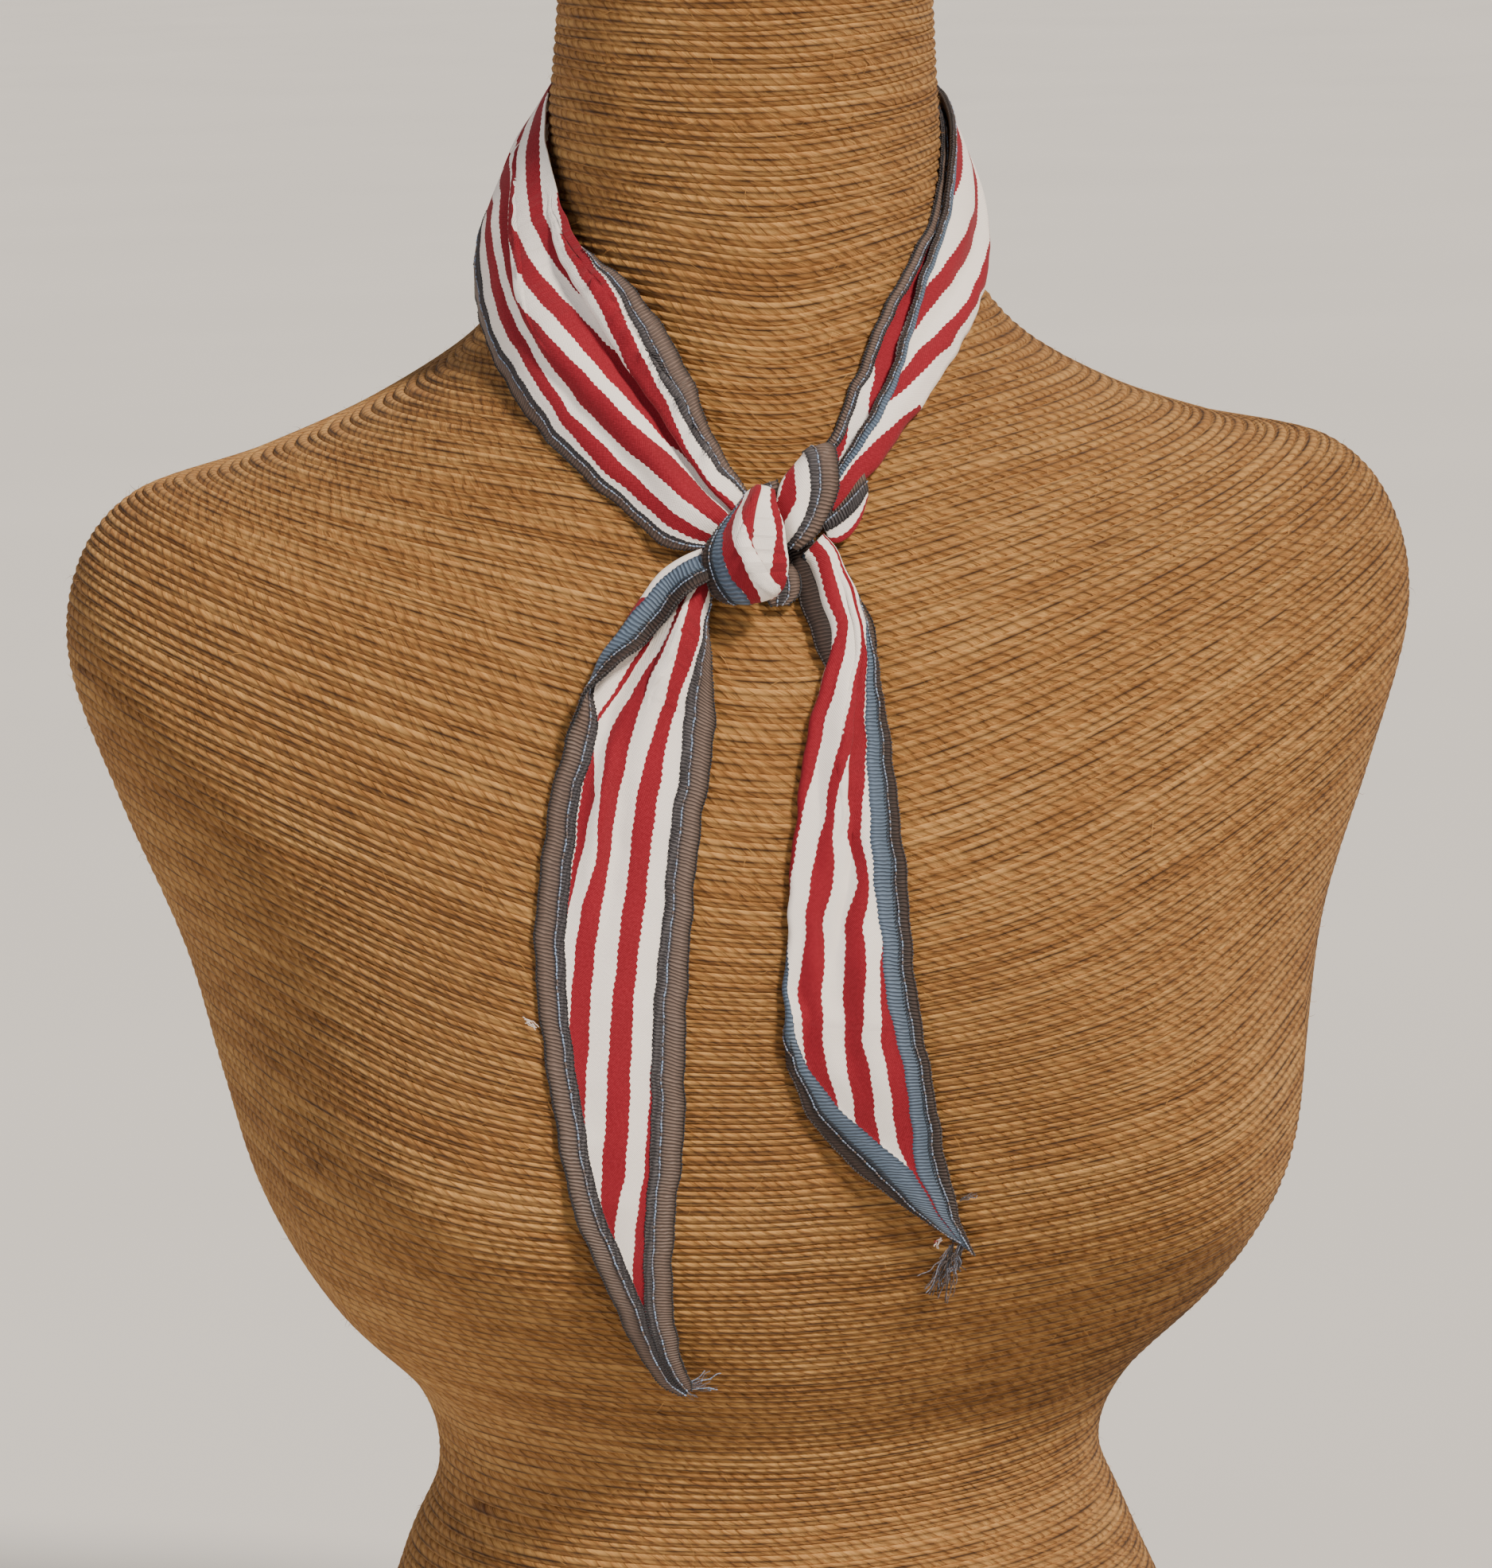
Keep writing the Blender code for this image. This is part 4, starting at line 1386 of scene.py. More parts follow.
@dataclass
class KnotStretch(Stretch):
    """A piece of the knot, laid out in the knot's own frame: across, up the chest and out."""

    turns: Table | None = None
    middle: tuple[float, float, float] = (-4.3, -81, 443)
    slope: float = math.radians(23)

    def edges(self, tree: BVHTree, row: float) -> dict:
        """Both edges of the piece at a row.

        Args:
            tree: the form's surface; not used.
            row: the place along the table.

        Returns:
            The edges, the crown and the way out.
        """
        v = self.turns.smooth(row)
        up = np.array([0, math.sin(self.slope), math.cos(self.slope)])
        out = np.array([0, -math.cos(self.slope), math.sin(self.slope)])
        low, high = (np.array(self.middle) + [v[s + "_u"], 0, 0] + up * v[s + "_v"] + out * v[s + "_w"]
                     for s in ("left", "right"))
        return {"low": low, "high": high, "outward": out, "crown": v["crown"]}


class NeckScarf:
    """The scarf: the loop round the neck, the knot and both tails."""

    def stretches(self) -> list[Stretch]:
        """The stretches of the scarf, from the left of the knot round the neck and down the tails."""
        return [self.neck_left(), self.nape(), self.neck_right(), self.tail_left(), self.tail_right(),
                self.tail_underside(), self.knot_wrap(), self.knot_lobe(), self.knot_back(),
                self.knot_stub()]

    def neck_left(self) -> Stretch:
        """The left of the neck: front face out, one deep pleat along it and a soft fold beside the neck."""
        marks = Table(
            "row low a0 a1 b0 b1 b2 b3 c0 c1 d0 d1 e0 e1 high",
            (
                (0, .08, .12, .22, .36, .57, .36, .57, .65, .90, 1.1, 1.2, .50, .72, .93),
                (1, .11, .17, .28, .43, .64, .43, .64, .66, .90, 1.1, 1.2, .58, .72, .88),
                (2, .08, .14, .25, .38, .59, .38, .59, .64, .86, 1.0, 1.1, .60, .73, .85),
                (3, .085, .12, .24, .32, .47, .32, .47, .57, .76, .90, 1.0, .64, .76, .81),
                (4, .09, .15, .22, .31, .45, .31, .45, .53, .675, .80, .90, .69, .80, .84),
                (5, .12, .19, .26, .33, .43, .33, .43, .53, .645, .73, .84, .79, .90, .92),
                (6, .13, .24, .34, .42, .52, .41, .435, .555, .665, .775, .84, .91, 1.0, 1.0),
                (7, .22, .34, .42, .50, .62, .45, .48, .60, .665, .79, .875, .99, 1.1, 1.0),
                (8, .28, .40, .50, .58, .70, .50, .60, .74, .77, .85, .96, 1.08, 1.2, 1.0),
                (9, .26, .30, .38, .50, .60, .50, .60, .68, .76, .88, .98, 1.1, 1.2, 1.0),
            ))
        pleat = Crease(((0, .64, 1.8), (1, .69, 2.4), (2, .69, 2.8), (3, .675, 3.0), (4, .67, 2.9),
                        (5, .72, 2.6), (6, .83, 1.9), (6.8, .90, 0.7), (7.4, .93, 0.0),
                        (9, .94, 0.0)), "e0", fade=12)
        fold = Crease(((0, .28, 0.0), (4.5, .29, 0.0), (5.3, .34, 0.45), (5.8, .42, 1.0), (6.4, .53, 1.3),
                       (7.2, .62, 1.4), (7.8, .70, 1.0), (8.4, .72, 0.6), (8.8, .74, 0.0),
                       (9, .74, 0.0)), "b2", again=2)
        ridges = (Ridge(((0, .48, 1.8, 5), (2, .48, 2.4, 6), (5, .38, 2.0, 6), (8, .45, 1.0, 6))),
                  Ridge(((0.2, .64, -1.4, 3.5), (2.5, .63, -2.6, 4.5), (5, .66, -2.4, 4.5),
                         (6.2, .76, -1.6, 3.5))),
                  Ridge(((2, .28, -1.4, 3), (5, .29, -1.8, 3), (7, .44, -1.2, 3))),
                  Ridge(((0, -.02, -1.6, 4), (4, -.02, -3.0, 5), (8, -.02, -2.0, 5))))
        return NeckStretch("neck_left_cloth", "neck_left", Face.FRONT, 0, 8.996, marks,
                           creases=(fold, pleat), ridges=ridges, flat=(62, 165))

    def nape(self) -> Stretch:
        """Behind the neck, which the photograph doesn't show: the cloth turns over once on a slant."""
        marks = Table(
            "row low a0 a1 b0 b1 c0 c1 d0 d1 high",
            (
                (9, .26, .30, .38, .50, .60, .68, .76, .88, .98, 1.0),
                (11, .24, .26, .40, .54, .68, .82, .94, 1.08, 1.2, 1.0),
                (13, .23, .20, .35, .50, .65, .80, .95, 1.1, 1.25, .78),
                (15, .15, .15, .31, .46, .62, .78, .94, 1.1, 1.2, .80),
                (17, .0, -.1, .1, .3, .45, .62, .8, 1.0, 1.2, .90),
            ))
        turn = Crease(((9, .5, 0.0), (11.2, .5, 0.0), (11.8, .5, 0.9), (12.6, .55, 1.2), (13.6, .62, 0.9),
                       (14.4, .65, 0.0), (17, .65, 0.0)), "b1")
        flap = Table(FOLDED,
                     ((9, 0, 0.6, 1), (14.2, 0, 0.6, 1), (15, -150, 4, 3.2), (16, -178, 10, 3.8),
                      (17, -180, 16, 4)))
        return NeckStretch("nape_cloth", "nape", Face.FRONT, 9.004, 16.996, marks, creases=(turn,),
                           ridges=(Ridge(((9.2, .6, 1.0, 6), (13, .5, 1.2, 7), (16.6, .5, .6, 5))),),
                           flap=flap, flat=(48, 150), step=1.5)

    def neck_right(self) -> Stretch:
        """The right of the neck: reverse out and folded in half, both overlocked edges towards the neck."""
        marks = Table(
            "row a0 a1 b0 b1 c0 c1 d0 d1 under high top",
            (
                (17, -.6, -.35, -.1, .1, .3, .45, .65, .8, -.09, .88, 1.0),
                (19, -.5, -.3, -.05, .12, .30, .45, .72, .9, -.09, .88, 1.0),
                (20, -.4, -.25, .0, .15, .36, .48, .80, 1.0, -.09, .90, 1.0),
                (21, -.3, -.15, .08, .22, .43, .63, .95, 1.1, -.09, .88, .98),
                (22, -.25, -.1, .15, .26, .56, .76, 1.1, 1.2, -.09, .82, .92),
                (22.5, -.22, -.08, .17, .31, .61, .80, 1.1, 1.2, -.10, .74, .83),
                (23, -.2, -.06, .17, .39, .64, .85, 1.1, 1.2, -.12, .66, .76),
                (23.5, -.15, -.02, .26, .48, .72, .9, 1.1, 1.2, -.18, .60, .72),
                (24, -.12, .03, .35, .55, .8, 1.0, 1.1, 1.2, -.32, .55, .69),
                (24.5, -.1, .12, .45, .65, .9, 1.1, 1.2, 1.3, -.52, .46, .65),
                (25, -.1, .24, .55, .75, 1.0, 1.1, 1.2, 1.3, -.70, .42, .62),
                (26, -.1, .38, .6, .8, 1.0, 1.1, 1.2, 1.3, -.95, .43, .64),
                (27, -.1, .42, .6, .8, 1.0, 1.1, 1.2, 1.3, -1.1, .46, .64),
            ))
        flap = Table(FOLDED,
                     ((17, -180, 27, 4), (18, -180, 29.5, 4), (19, -180, 33.5, 4), (20, -180, 35.5, 4),
                      (21, -180, 30.5, 4), (22, -180, 29.5, 4), (23, -180, 27.8, 4), (24, -180, 23.2, 4),
                      (25, -180, 19.8, 4), (26, -180, 17.5, 4), (27, -180, 15, 4)))
        return RightNeck("neck_right_cloth", "neck_right", Face.REVERSE, 17.004, 27, marks,
                         flap=flap, bands=(False, True),
                         ridges=(Ridge(((18, .15, 1.0, 4), (21, .14, 1.8, 3.5), (24, .3, 1.4, 4),
                                        (27, .3, .6, 3))),
                                 Ridge(((19, .36, -.6, 3), (22, .42, -1.4, 4), (24, .52, -.8, 3)))),
                         flat=(48, 160), plump=1.9, flap_squeeze=2.6)

    def tail_left(self) -> Stretch:
        """The left tail: front out, its left edge folded over at the top, pointed at the end."""
        marks = Table(
            "row low a0 a1 b0 b1 c0 c1 d0 high",
            (
                (0, 0, .10, .12, .44, .50, .56, .82, 1.05, .98),
                (2, 0, .06, .08, .44, .49, .56, .82, 1.0, .86),
                (2.6, 0, .08, .10, .44, .48, .57, .79, .97, .82),
                (3, 0, .26, .30, .43, .47, .58, .76, .95, .79),
                (4, 0, .22, .26, .35, .42, .58, .67, .88, .73),
                (5, 0, .14, .15, .27, .42, .56, .66, .90, .78),
                (5.5, .17, .18, .21, .29, .43, .55, .68, .90, .80),
                (6, .19, .20, .29, .32, .43, .56, .69, .93, .80),
                (7, .20, .21, .25, .35, .43, .57, .69, .94, .81),
                (7.5, .20, .20, .21, .29, .41, .55, .68, .93, .81),
                (8, .20, .15, .17, .27, .39, .54, .66, .85, .79),
                (9, .20, .08, .10, .20, .33, .47, .62, .77, .76),
                (10, .22, .0, .02, .10, .23, .39, .56, .71, .73),
                (10.6, .24, -.05, -.03, .03, .15, .32, .51, .68, .72),
                (11, .28, -.1, -.05, .0, .10, .27, .41, .62, .69),
                (11.4, .35, -.1, -.05, .0, .05, .20, .33, .55, .65),
                (12, .44, -.1, -.05, .0, .02, .10, .22, .42, .57),
                (12.3, .50, -.1, -.05, .0, .02, .10, .2, .40, .50),
                (15, .50, -.1, -.05, 0, .02, .1, .2, .4, .50),
            ))
        side = Table(
            HANGING,
            (
                (-24, 438, -23, 426, 2.0, 2), (-31, 436, -24, 420, 2.0, 3), (-36, 432, -24, 414, 1.5, 3),
                (-43, 424, -24, 406, 1.0, 3), (-53, 411, -24, 395, 0.5, 3), (-61, 397, -26, 383, 0.2, 3),
                (-68, 380, -30, 366, 0, 3), (-72, 363, -33, 349, 0, 2), (-76, 340, -36, 327, 0, 2),
                (-76, 318, -38, 306, 0, 2), (-74, 295, -39, 286, 0.5, 1), (-70, 269, -42, 264, 0.8, 1),
                (-62, 247, -43, 242, 2, 1), (-53, 225, -41, 224, 4, 1), (-46, 213, -38, 214, 5, 0.5),
                (-40, 208, -37, 210, 6, 0),
            ))
        flap = Table(FOLDED,
                     ((0, 165, 13.2, 3.4), (1.6, 168, 13.4, 3.6), (2.8, 168, 12.4, 3.6),
                      (3.4, 162, 11.0, 3.6), (4.0, 140, 9.6, 3.6), (4.4, 110, 9, 3.6), (4.8, 70, 8.8, 3.8),
                      (5.2, 35, 8.6, 4), (5.6, 12, 8.6, 4), (6.0, 0, 8.5, 4), (15, 0, 8.5, 4)))
        ridge = Crease(((0, .50, .0), (1.6, .48, .0), (2.6, .46, 1.2), (3.4, .42, 1.6), (3.9, .42, 1.1),
                        (4.5, .41, .0), (15, .42, .0)), "b1")
        ridges = (Ridge(((1.5, .30, -1.8, 3.5), (3.6, .26, -3.2, 4.0), (4.6, .22, -2.8, 3.5),
                         (5.6, .25, -.8, 3))),
                  Ridge(((2.2, .58, 2.0, 3.0), (4.4, .52, 2.2, 3.5), (6, .47, .8, 4))),
                  Ridge(((5.0, .30, 1.2, 2.5), (6.0, .33, 2.4, 2.5), (6.8, .33, 1.8, 3), (7.8, .30, .4, 3))),
                  Ridge(((5.6, .47, -1.4, 3), (6.6, .48, -1.6, 3), (7.6, .46, -.6, 3))),
                  Ridge(((7.2, .62, .7, 6), (9.5, .5, 1.0, 7), (12, .5, .4, 5))))
        wisps = (Wisp((-40, 209.5), (-32, 213), 9, 1.0, 5.5, (.25, .6, .9)),
                 Wisp((-40, 209.5), (-31, 209), 7, .8, 5.0, (.25, .9)),
                 Wisp((-39, 209), (-36, 205), 4, .6, 4.5, (.5, .8)),
                 Wisp((-77.5, 318), (-80.5, 320), 5, .7, 3.5, (1.3,)))
        return LeftTail("tail_left_cloth", "tail_left", Face.FRONT, 0, 15, marks, side=side,
                        flap=flap, creases=(ridge,), ridges=ridges, flat=(46, 262), cut=0.8, spacing=0.7,
                        wisps=wisps)

    def tail_right(self) -> Stretch:
        """The right tail: reverse out, its left edge folded under, waves down it, a slanting pointed end."""
        marks = Table(
            "row low a0 a1 b0 b1 c0 c1 d0 high",
            (
                (0, 0, .25, .62, .97, 1.1, .95, .99, 1.2, 1.0),
                (1, 0, .22, .62, .94, 1.1, .93, .98, 1.2, 1.0),
                (2.2, 0, .14, .51, .90, 1.1, .88, .96, 1.2, 1.0),
                (3.3, 0, .18, .49, .82, 1.0, .76, .86, 1.1, .99),
                (3.9, 0, .10, .36, .73, .98, .70, .82, 1.1, .86),
                (4.4, 0, .02, .31, .67, .93, .62, .81, 1.0, .81),
                (5.2, 0, -.01, .24, .51, .80, .52, .74, 1.0, .75),
                (5.6, 0, -.02, .19, .46, .68, .50, .69, .95, .71),
                (5.8, 0, -.02, .17, .41, .62, .50, .69, .95, .69),
                (6.2, 0, -.02, .14, .34, .47, .47, .685, .95, .69),
                (6.5, 0, -.03, .10, .29, .39, .475, .66, .9, .69),
                (6.9, 0, -.04, .03, .27, .335, .50, .61, .88, .69),
                (7.2, 0, -.05, .03, .24, .34, .49, .61, .85, .69),
                (7.7, 0, -.06, .02, .19, .37, .56, .64, .82, .69),
                (8.0, 0, -.06, .0, .17, .36, .58, .66, .80, .69),
                (8.4, 0, -.06, -.02, .15, .31, .51, .64, .78, .72),
                (8.8, 0, -.06, -.02, .14, .27, .46, .59, .76, .74),
                (9.4, 0, -.08, -.04, .12, .29, .46, .62, .73, .75),
                (10.1, .01, -.1, -.06, .10, .27, .44, .58, .71, .76),
                (10.6, .06, -.12, -.08, .13, .27, .44, .55, .69, .80),
                (11.2, .14, -.15, -.1, .14, .27, .41, .57, .69, .81),
                (11.9, .26, -.2, -.15, .13, .27, .39, .54, .68, .80),
                (12.6, .42, -.2, -.15, .0, .1, .30, .46, .61, .75),
                (13.3, .63, -.2, -.15, .0, .1, .2, .4, .6, .66),
                (16, .64, -.2, -.15, .0, .1, .2, .4, .6, .65),
            ))
        side = Table(
            HANGING,
            (
                (3, 436, 9, 441, 2.5, 1), (5, 433, 13, 436, 2.0, 1), (6.5, 428, 15.5, 429, 1.5, 1),
                (8, 420, 18, 421, 1.0, 1), (9.5, 413, 20, 413, 0.5, 1), (6, 404, 21, 404, 0.5, 1.5),
                (0, 387, 23, 386, 0, 2), (-4, 367, 24, 366, 0, 2), (-7, 351, 25, 349, 0, 2),
                (-8, 337, 25, 333, 0, 2), (-10, 322, 26, 317, 0, 1.5), (-10, 305, 28, 302, 0, 1.5),
                (-5, 289, 30, 289, 0, 1), (5, 275, 32, 275, 0, 1), (16, 265, 35, 261, 1, 1),
                (25, 258, 37, 253, 1.5, 0.5), (34, 251, 40, 246, 2, 0),
            ))
        flap = Table(FOLDED,
                     ((0, -178, 9, 3.4), (3, -178, 14, 3.6), (5, -178, 16, 3.8), (8, -178, 13, 3.6),
                      (10, -176, 8, 3.4), (11, -120, 3.0, 2.4), (11.4, 0, 0.6, 1), (16, 0, 0.4, 1)))
        split = Crease(((0, .88, .3), (2.2, .84, .5), (3.3, .76, .5), (4.4, .68, .5), (5.2, .58, .8),
                        (5.8, .53, 1.2), (6.3, .475, 1.2), (6.8, .47, .6), (7.4, .46, .0),
                        (16, .45, .0)), "c0", side=-1)
        ridges = (Ridge(((1.0, .40, .8, 3), (3.0, .30, 1.4, 3.5), (4.6, .18, .8, 3))),
                  Ridge(((1.6, .62, -.8, 2.5), (3.4, .55, -1.2, 3), (4.8, .36, -.8, 3))),
                  Ridge(((5.0, .42, 1.0, 3), (6.6, .38, 1.8, 4), (7.8, .30, 1.2, 4))),
                  Ridge(((6.4, .66, .8, 3), (7.6, .70, 2.2, 4), (8.4, .62, .8, 4))),
                  Ridge(((7.0, .50, -1.4, 3), (7.8, .46, -2.0, 3.5), (8.8, .36, -2.0, 4),
                         (9.8, .35, -1.0, 4))),
                  Ridge(((8.4, .18, 1.2, 4), (9.4, .2, 1.8, 4), (11, .3, .8, 4))),
                  Ridge(((8.6, .62, 1.0, 4), (9.6, .60, 1.8, 4), (10.8, .56, .8, 5), (12, .6, .5, 4))),
                  Ridge(((9.8, .44, -1.2, 3.5), (10.8, .42, -1.4, 4), (11.8, .5, -.4, 4))))
        wisps = (Wisp((37, 248), (32, 243), 16, 1.5, 2.8, (.1, .3, .7)),
                 Wisp((34, 249), (31, 235), 26, 1.1, 2.6, (.1, .3, .6, .75), .16),
                 Wisp((36, 249), (34, 241), 22, 1.5, 2.8, (.1, .3, .7), .16),
                 Wisp((31, 251), (29.5, 249), 7, .6, 2.8, (1.6, 1.3), .16),
                 Wisp((36, 262), (39, 264), 8, .8, 2.2, (.3, .7)))
        return TailStretch("tail_right_cloth", "tail_right", Face.REVERSE, 0, 16, marks, side=side, flap=flap,
                           creases=(split,), ridges=ridges, flat=(46, 232), cut=0.75, spacing=0.7,
                           wisps=wisps)

    def tail_underside(self) -> Stretch:
        """The right tail's turned-under band, which shows in shadow left of its top."""
        # Its low mark of 2.7 spreads the band's real dark outer edge over the whole strip, as painted shade
        # for the shadow the band lies in.
        marks = Table("row low a0 a1 high", ((0, 2.7, .2, .3, .99), (4, 2.7, .2, .3, .99)))
        side = Table(
            HANGING,
            (
                (-1, 438, 6, 440, 0.4, 0.6), (0, 431, 8, 432, 0.4, 0.6), (1.5, 423, 10, 424, 0.4, 0.6),
                (4, 414, 11, 415, 0.4, 0.6), (7, 406, 11, 407, 0.4, 0.3),
            ))
        return TailStretch("tail_right_turned_band", "tail_right", Face.REVERSE, 0, 4, marks,
                           step=0.8, side=side, bands=(True, False), flat=(10, 34), cut=0.9, rest=0.25)

    def knot_wrap(self) -> Stretch:
        """The wrap over the knot's front: reverse out, two crests and one slanting crease."""
        marks = Table(
            "row low z1 a1 b0 b1 c0 c1",
            (
                (0, 0, -.2, -.1, .10, .9, .90, 1.1), (1, 0, -.15, 0, .14, .9, .86, 1.05),
                (2, .05, .05, .12, .25, .9, .86, 1.0), (2.6, .14, .14, .24, .38, .9, .88, .98),
                (3.3, .17, .17, .32, .53, .9, .90, .96), (3.7, .25, .25, .39, .60, .9, .88, .96),
                (4.4, .30, .30, .52, .71, .9, .84, .98), (5.2, .36, .36, .59, .83, .95, .82, .98),
                (6, .50, .50, .67, .95, 1.1, .96, 1.04), (7, .55, .55, .72, 1.0, 1.2, 1.02, 1.1),
                (8, .55, .55, .72, 1.0, 1.2, 1.02, 1.1),
            ))
        turns = Table(
            KNOTTED,
            (
                (-5, 8.5, 5.5, 0, 9, 5.5, 1), (-7.5, 7.5, 8.5, 0, 7.5, 9, 1.5),
                (-11.5, 2.5, 9, 0.5, 2, 12, 2.5), (-16, -1.5, 7.5, 1, -4, 13, 3.5),
                (-20, -7, 6, 1.5, -10, 13, 4), (-20.5, -13, 5, 1.5, -15, 12, 4),
                (-18.5, -18, 4, 0.5, -18.5, 10, 3), (-15, -20.5, 3, -2, -20.5, 7, 2),
                (-13, -20.5, 2, -3, -20.8, 5, 1),
            ))
        crease = Crease(((0, .52, .2), (1.3, .53, .5), (3.0, .58, .9), (3.7, .61, 1.5), (4.3, .69, 2.0),
                         (5.1, .80, 2.0), (6.1, .92, 1.0), (7, .95, .0), (8, .95, .0)), "c0", side=-1)
        ridges = (Ridge(((1, .34, .9, 3), (3, .42, 1.6, 3), (5, .66, 1.4, 3), (7, .8, .4, 3))),
                  Ridge(((1.5, .10, -.6, 3), (4, .16, -1.0, 3), (7, .2, -.6, 3))),
                  Ridge(((1.0, .80, .8, 3), (4, .88, .5, 3))))
        return KnotStretch("knot_wrap_cloth", "knot_wrap", Face.REVERSE, 0, 8, marks, step=0.6,
                           spacing=0.5, creases=(crease,), ridges=ridges, bands=(True, False), turns=turns,
                           flat=(22, 44), rest=0.3)

    def knot_lobe(self) -> Stretch:
        """The lobe at the knot's upper right: front out, its overlocked band at the right."""
        marks = Table(
            "row a0 a1 high",
            ((0, -.2, -.1, .15), (1.4, -.05, .01, .27), (2.5, .05, .19, .42), (3.2, .06, .27, .49),
             (3.8, .03, .32, .54), (4.3, .0, .25, .54), (4.7, -.05, .14, .48),
             (6, -.3, -.1, .27)))
        turns = Table(
            KNOTTED,
            (
                (9, 17.5, 3.5, 17, 22, 3, 1), (7, 16, 7, 18, 19.5, 6, 2), (4, 13, 9, 18.5, 14.5, 7.5, 3),
                (1.5, 8.5, 9, 17.5, 8.5, 7.5, 3), (0, 3.5, 8.5, 15, 2, 7.5, 2.5),
                (0.5, -2, 8, 10.5, -4.5, 7, 2), (1.5, -6, 7, 5.5, -8, 6, 0.5),
            ))
        return KnotStretch("knot_lobe_cloth", "knot_lobe", Face.FRONT, 0, 6, marks, step=0.6, spacing=0.5,
                           ridges=(Ridge(((.5, .3, .7, 2.5), (3, .35, 1.0, 3), (5.5, .3, .5, 2.5))),),
                           bands=(False, True), turns=turns, flat=(20, 32), rest=0.3)

    def knot_back(self) -> Stretch:
        """The turn behind the knot, which shows as a small dark loop above it and a ring below."""
        marks = Table("row low a0 a1 high", ((0, .5, .1, .2, .5), (6, .5, .1, .2, .5)))
        turns = Table(
            KNOTTED,
            (
                (-4, 11.5, 0.5, 2, 13, 1, 1), (-5, 7, -0.5, 3.5, 8, 0, 1), (-5, 0, -1.5, 4, 0, -1.5, 1),
                (-5, -8, -1.5, 5, -9, -1, 1), (-4, -15, -0.5, 6.5, -15, 0.5, 1),
                (-3, -19.5, 0, 5.5, -19, 0.8, 0.5), (-2, -21.5, 0, 2, -21.5, 0.5, 0.3),
            ))
        return KnotStretch("knot_back_cloth", "knot_back", Face.FRONT, 0, 6, marks, step=0.7, spacing=0.6,
                           turns=turns, flat=(11, 36), rest=0.3)

    def knot_stub(self) -> Stretch:
        """The short end that shows at the knot's right: taupe edge, white and red."""
        marks = Table("row a0 a1 high",
                      ((0, -.1, .12, .30), (2, -.1, .10, .30), (4, -.1, .06, .16)))
        turns = Table(
            KNOTTED,
            (
                (15, -4, 0, 12.5, 4, 0.3, 0.5), (17.5, -5, 0, 14.5, 8, 0.5, 1),
                (21, -3.5, 0, 17.5, 11.5, 0.8, 1), (24.2, 1.5, 0, 21, 15, 1.0, 1),
                (26.8, 7.5, 0, 25.8, 16.6, 0.8, 0.5),
            ))
        return KnotStretch("knot_stub_cloth", "knot_stub", Face.FRONT, 0, 4, marks, step=0.6,
                           spacing=0.5,
                           bands=(False, True), turns=turns, flat=(15, 19), cut=0.8, rest=0.3)

    def build(self, tree: BVHTree) -> None:
        """Build every stretch and the frayed ends.

        Args:
            tree: the form's surface.
        """
        cloth, thread = StripedCotton().material(), OverlockThread().material()
        for stretch in self.stretches():
            stretch.build(tree, cloth, thread)


@dataclass
class RightNeck(NeckStretch):
    """The right of the neck, whose top layer stops short of the layer below it."""

    def path(self, row: float, shown: float, counts: tuple[int, ...]) -> tuple[np.ndarray, ...]:
        """Lay the cloth's line, with the top layer cut back to its own edge.

        Args:
            row: the place along the table.
            shown: the width that shows.
            counts: how many points each even run has.

        Returns:
            As for any stretch.
        """
        over, out, share, loose = super().path(row, shown, counts)
        top = self.marks.straight(row)["top"]
        on = loose < 0
        start = share[on].min()
        share = np.where(on, start + (share - start) * (top - start) / (1 - start), share)
        over = np.where(on, share * shown, over)
        return over, out, share, loose


@dataclass
class LeftTail(TailStretch):
    """The left tail, whose flap is its overlocked band, folded over at the top and flat below."""

    def flap_length(self, row: float, shown: float) -> float:
        """How wide the band is at a row, from the marks where it lies flat."""
        fold = self.flap.straight(row)
        flat = 1 - min(abs(fold["angle"]) / 25, 1)
        low = self.marks.straight(row)["low"]
        return fold["length"] * (1 - flat) + max(low * shown, 0.5) * flat

    def read_marks(self, row: float, mark: dict[str, float], share: np.ndarray, loose: np.ndarray,
                   shown: float) -> tuple[np.ndarray, np.ndarray]:
        """Read the marks, with the flap's own width counted as the whole band.

        Args:
            row: the place along the table.
            mark: the marks' places across.
            share: each point's share for the marks.
            loose: each point's way along a flap, below zero off it.
            shown: the width that shows.

        Returns:
            As for any stretch.
        """
        length = self.flap_length(row, shown)
        flat = 1 - min(abs(self.flap.straight(row)["angle"]) / 60, 1)
        stripe, rim = super().read_marks(row, mark | {"low": 0.0}, share, loose, shown)
        inner = BAND + (share - share[loose < 0].min()) * shown
        band = loose * (1 - flat + flat * BAND / length)
        rim = np.where(loose >= 0, band, np.where(flat > 0, np.minimum(rim, inner), rim))
        return stripe, rim


# The studio


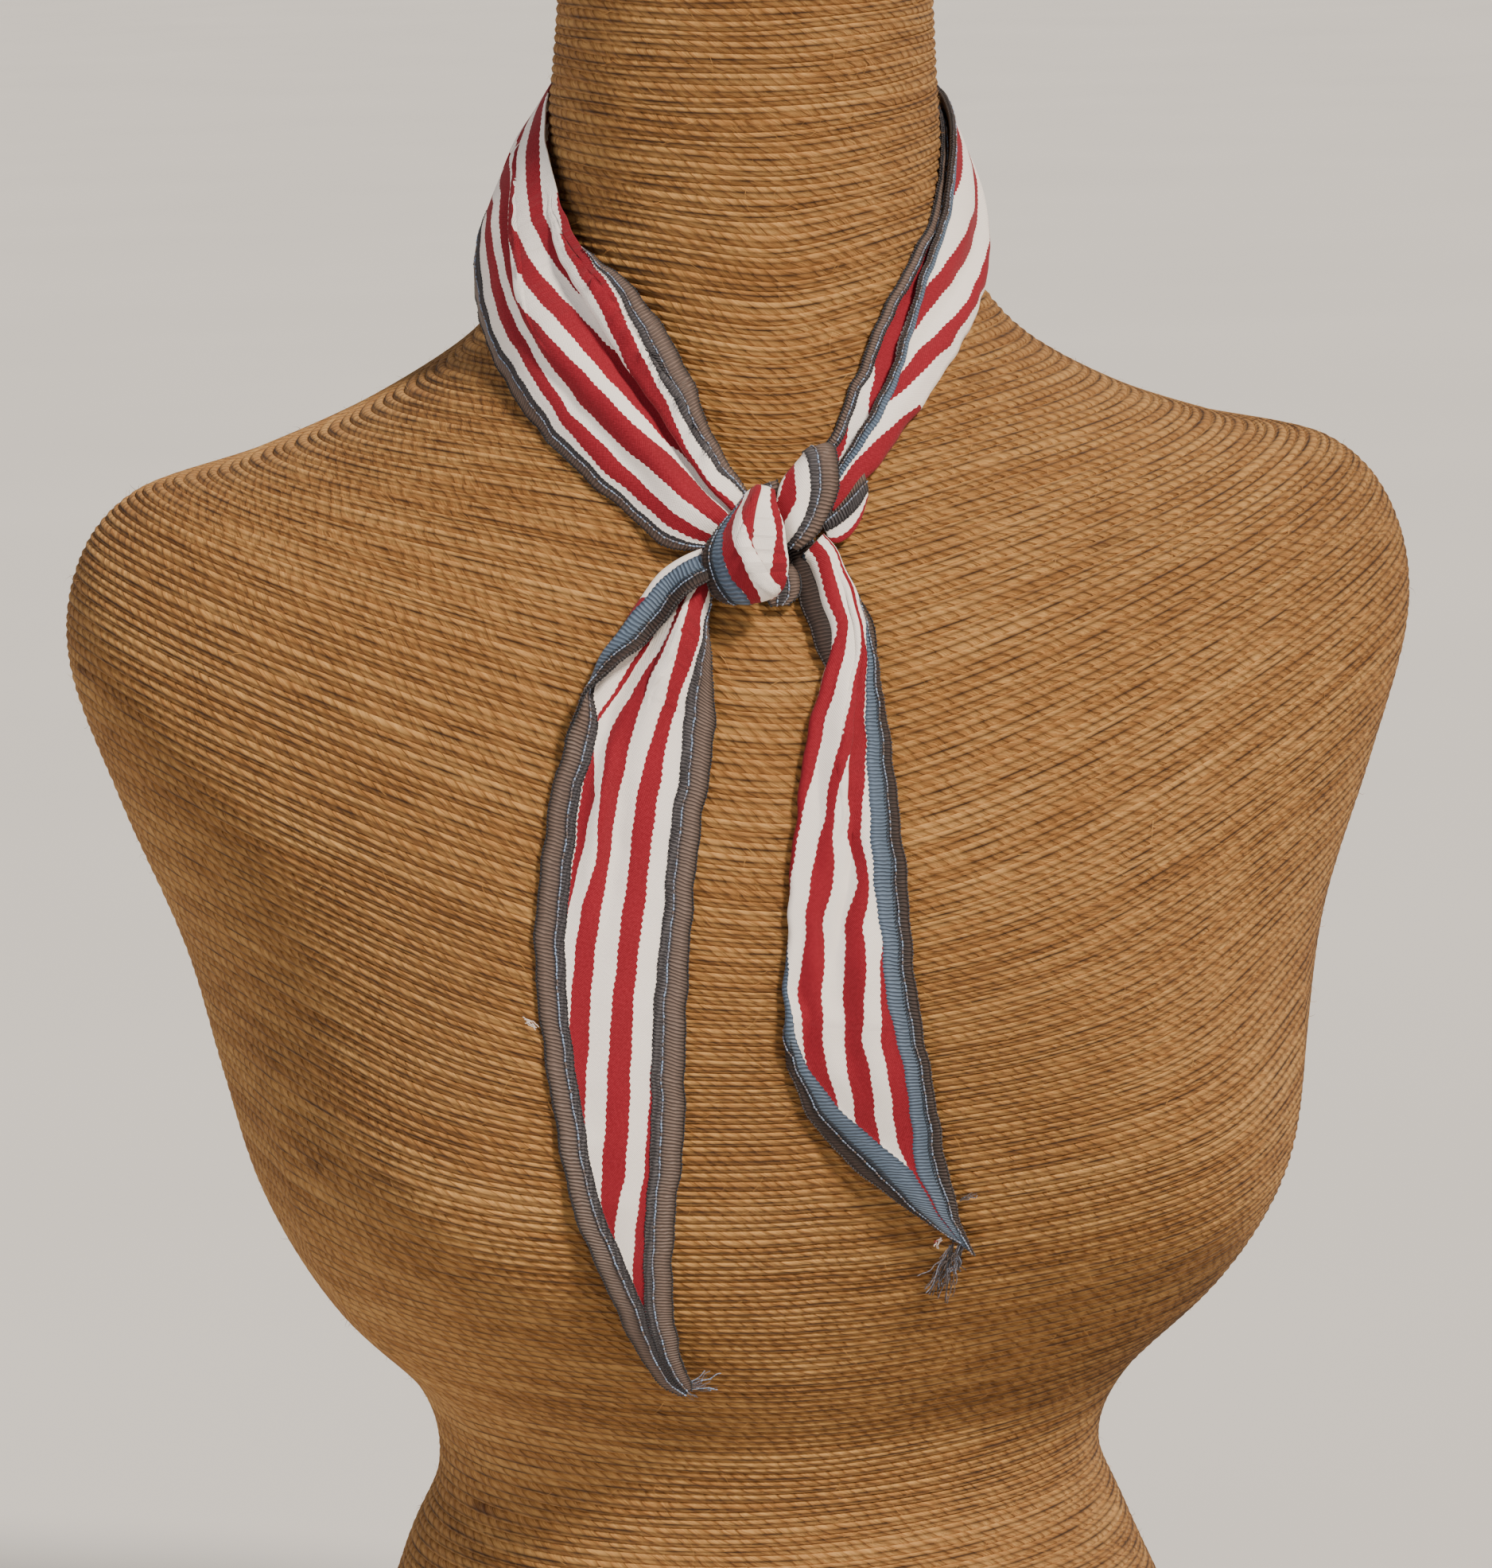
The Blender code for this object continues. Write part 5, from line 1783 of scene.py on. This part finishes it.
@dataclass
class Studio:
    """A plain pale floor, soft lights and the camera."""

    target: tuple[float, float, float] = (-16.5, -100.0, 377.0)
    distance: float = 1500.0
    elevation: float = 10.5
    azimuth: float = -8.0
    roll: float = 1.9
    lens: float = 128.4

    def camera(self) -> None:
        """Place the camera at the photograph's viewing angle."""
        a, e, r = (math.radians(v) for v in (self.azimuth, self.elevation, self.roll))
        back = Vector((math.sin(a) * math.cos(e), -math.cos(a) * math.cos(e), math.sin(e)))
        right = Vector((math.cos(a), math.sin(a), 0))
        up = back.cross(right)
        across = right * math.cos(r) - up * math.sin(r)
        above = right * math.sin(r) + up * math.cos(r)
        data = bpy.data.cameras.new("camera")
        data.lens, data.sensor_width = self.lens, 36
        data.clip_start, data.clip_end = 0.1, 60
        made = bpy.data.objects.new("camera", data)
        place = (Vector(self.target) + back * self.distance) * MM
        made.matrix_world = Matrix.Translation(place) @ Matrix((across, above, back)).transposed().to_4x4()
        bpy.context.scene.collection.objects.link(made)
        bpy.context.scene.camera = made

    def light(self, name: str, kind: str, place: tuple[float, float, float], power: float, size: float,
              colour: str) -> None:
        """Hang one soft light that looks at the form.

        Args:
            name: the light's name.
            kind: AREA, or SUN for parallel light.
            place: where it hangs, in metres.
            power: watts, or a sun's strength.
            size: an area's side in metres, or a sun's angle in radians.
            colour: its sRGB hex colour.
        """
        data = bpy.data.lights.new(name, kind)
        data.energy, data.color = power, linear(colour)[:3]
        setattr(data, "angle" if kind == "SUN" else "size", size)
        made = bpy.data.objects.new(name, data)
        made.location = place
        made.rotation_euler = (Vector((0, 0, 0.36)) - Vector(place)).to_track_quat("-Z", "Y").to_euler()
        bpy.context.scene.collection.objects.link(made)

    def build(self) -> None:
        """Set up the floor, the lights, the world and the camera."""
        side = 16000.0
        corners = np.array([(-side, -side, 0), (side, -side, 0), (side, side, 0), (-side, side, 0)])
        floor = mesh_object("studio_floor", corners, np.array([[0, 1, 2, 3]]), StudioPaint().material())
        self.light("key", "SUN", (0.95, -1.15, 1.95), 5.6, math.radians(11), "#FFF4E6")
        self.light("fill", "AREA", (-1.7, -1.3, 1.1), 17, 1.4, "#F3F2F6")
        world = bpy.data.worlds.new("studio")
        world.use_nodes = True
        sky = world.node_tree.nodes["Background"]
        sky.inputs["Color"].default_value = linear("#E4E6EA")
        sky.inputs["Strength"].default_value = 0.31
        bpy.context.scene.world = world
        self.camera()


def main() -> None:
    """Build the scene round the frame, piece by piece."""
    logging.basicConfig(level=logging.INFO, format="%(message)s")
    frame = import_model()
    solid = frame["nodes"]["dress_form"]
    tree = BVHTree.FromPolygons([v.co / MM for v in solid.data.vertices],
                                [tuple(p.vertices) for p in solid.data.polygons])
    Studio().build()
    for piece in RopeForm().build():
        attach(piece, "root")
        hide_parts("dress_form")
        LOG.info("%s: %d faces", piece.name, len(piece.data.polygons))
    NeckScarf().build(tree)


if __name__ == "__main__":
    main()
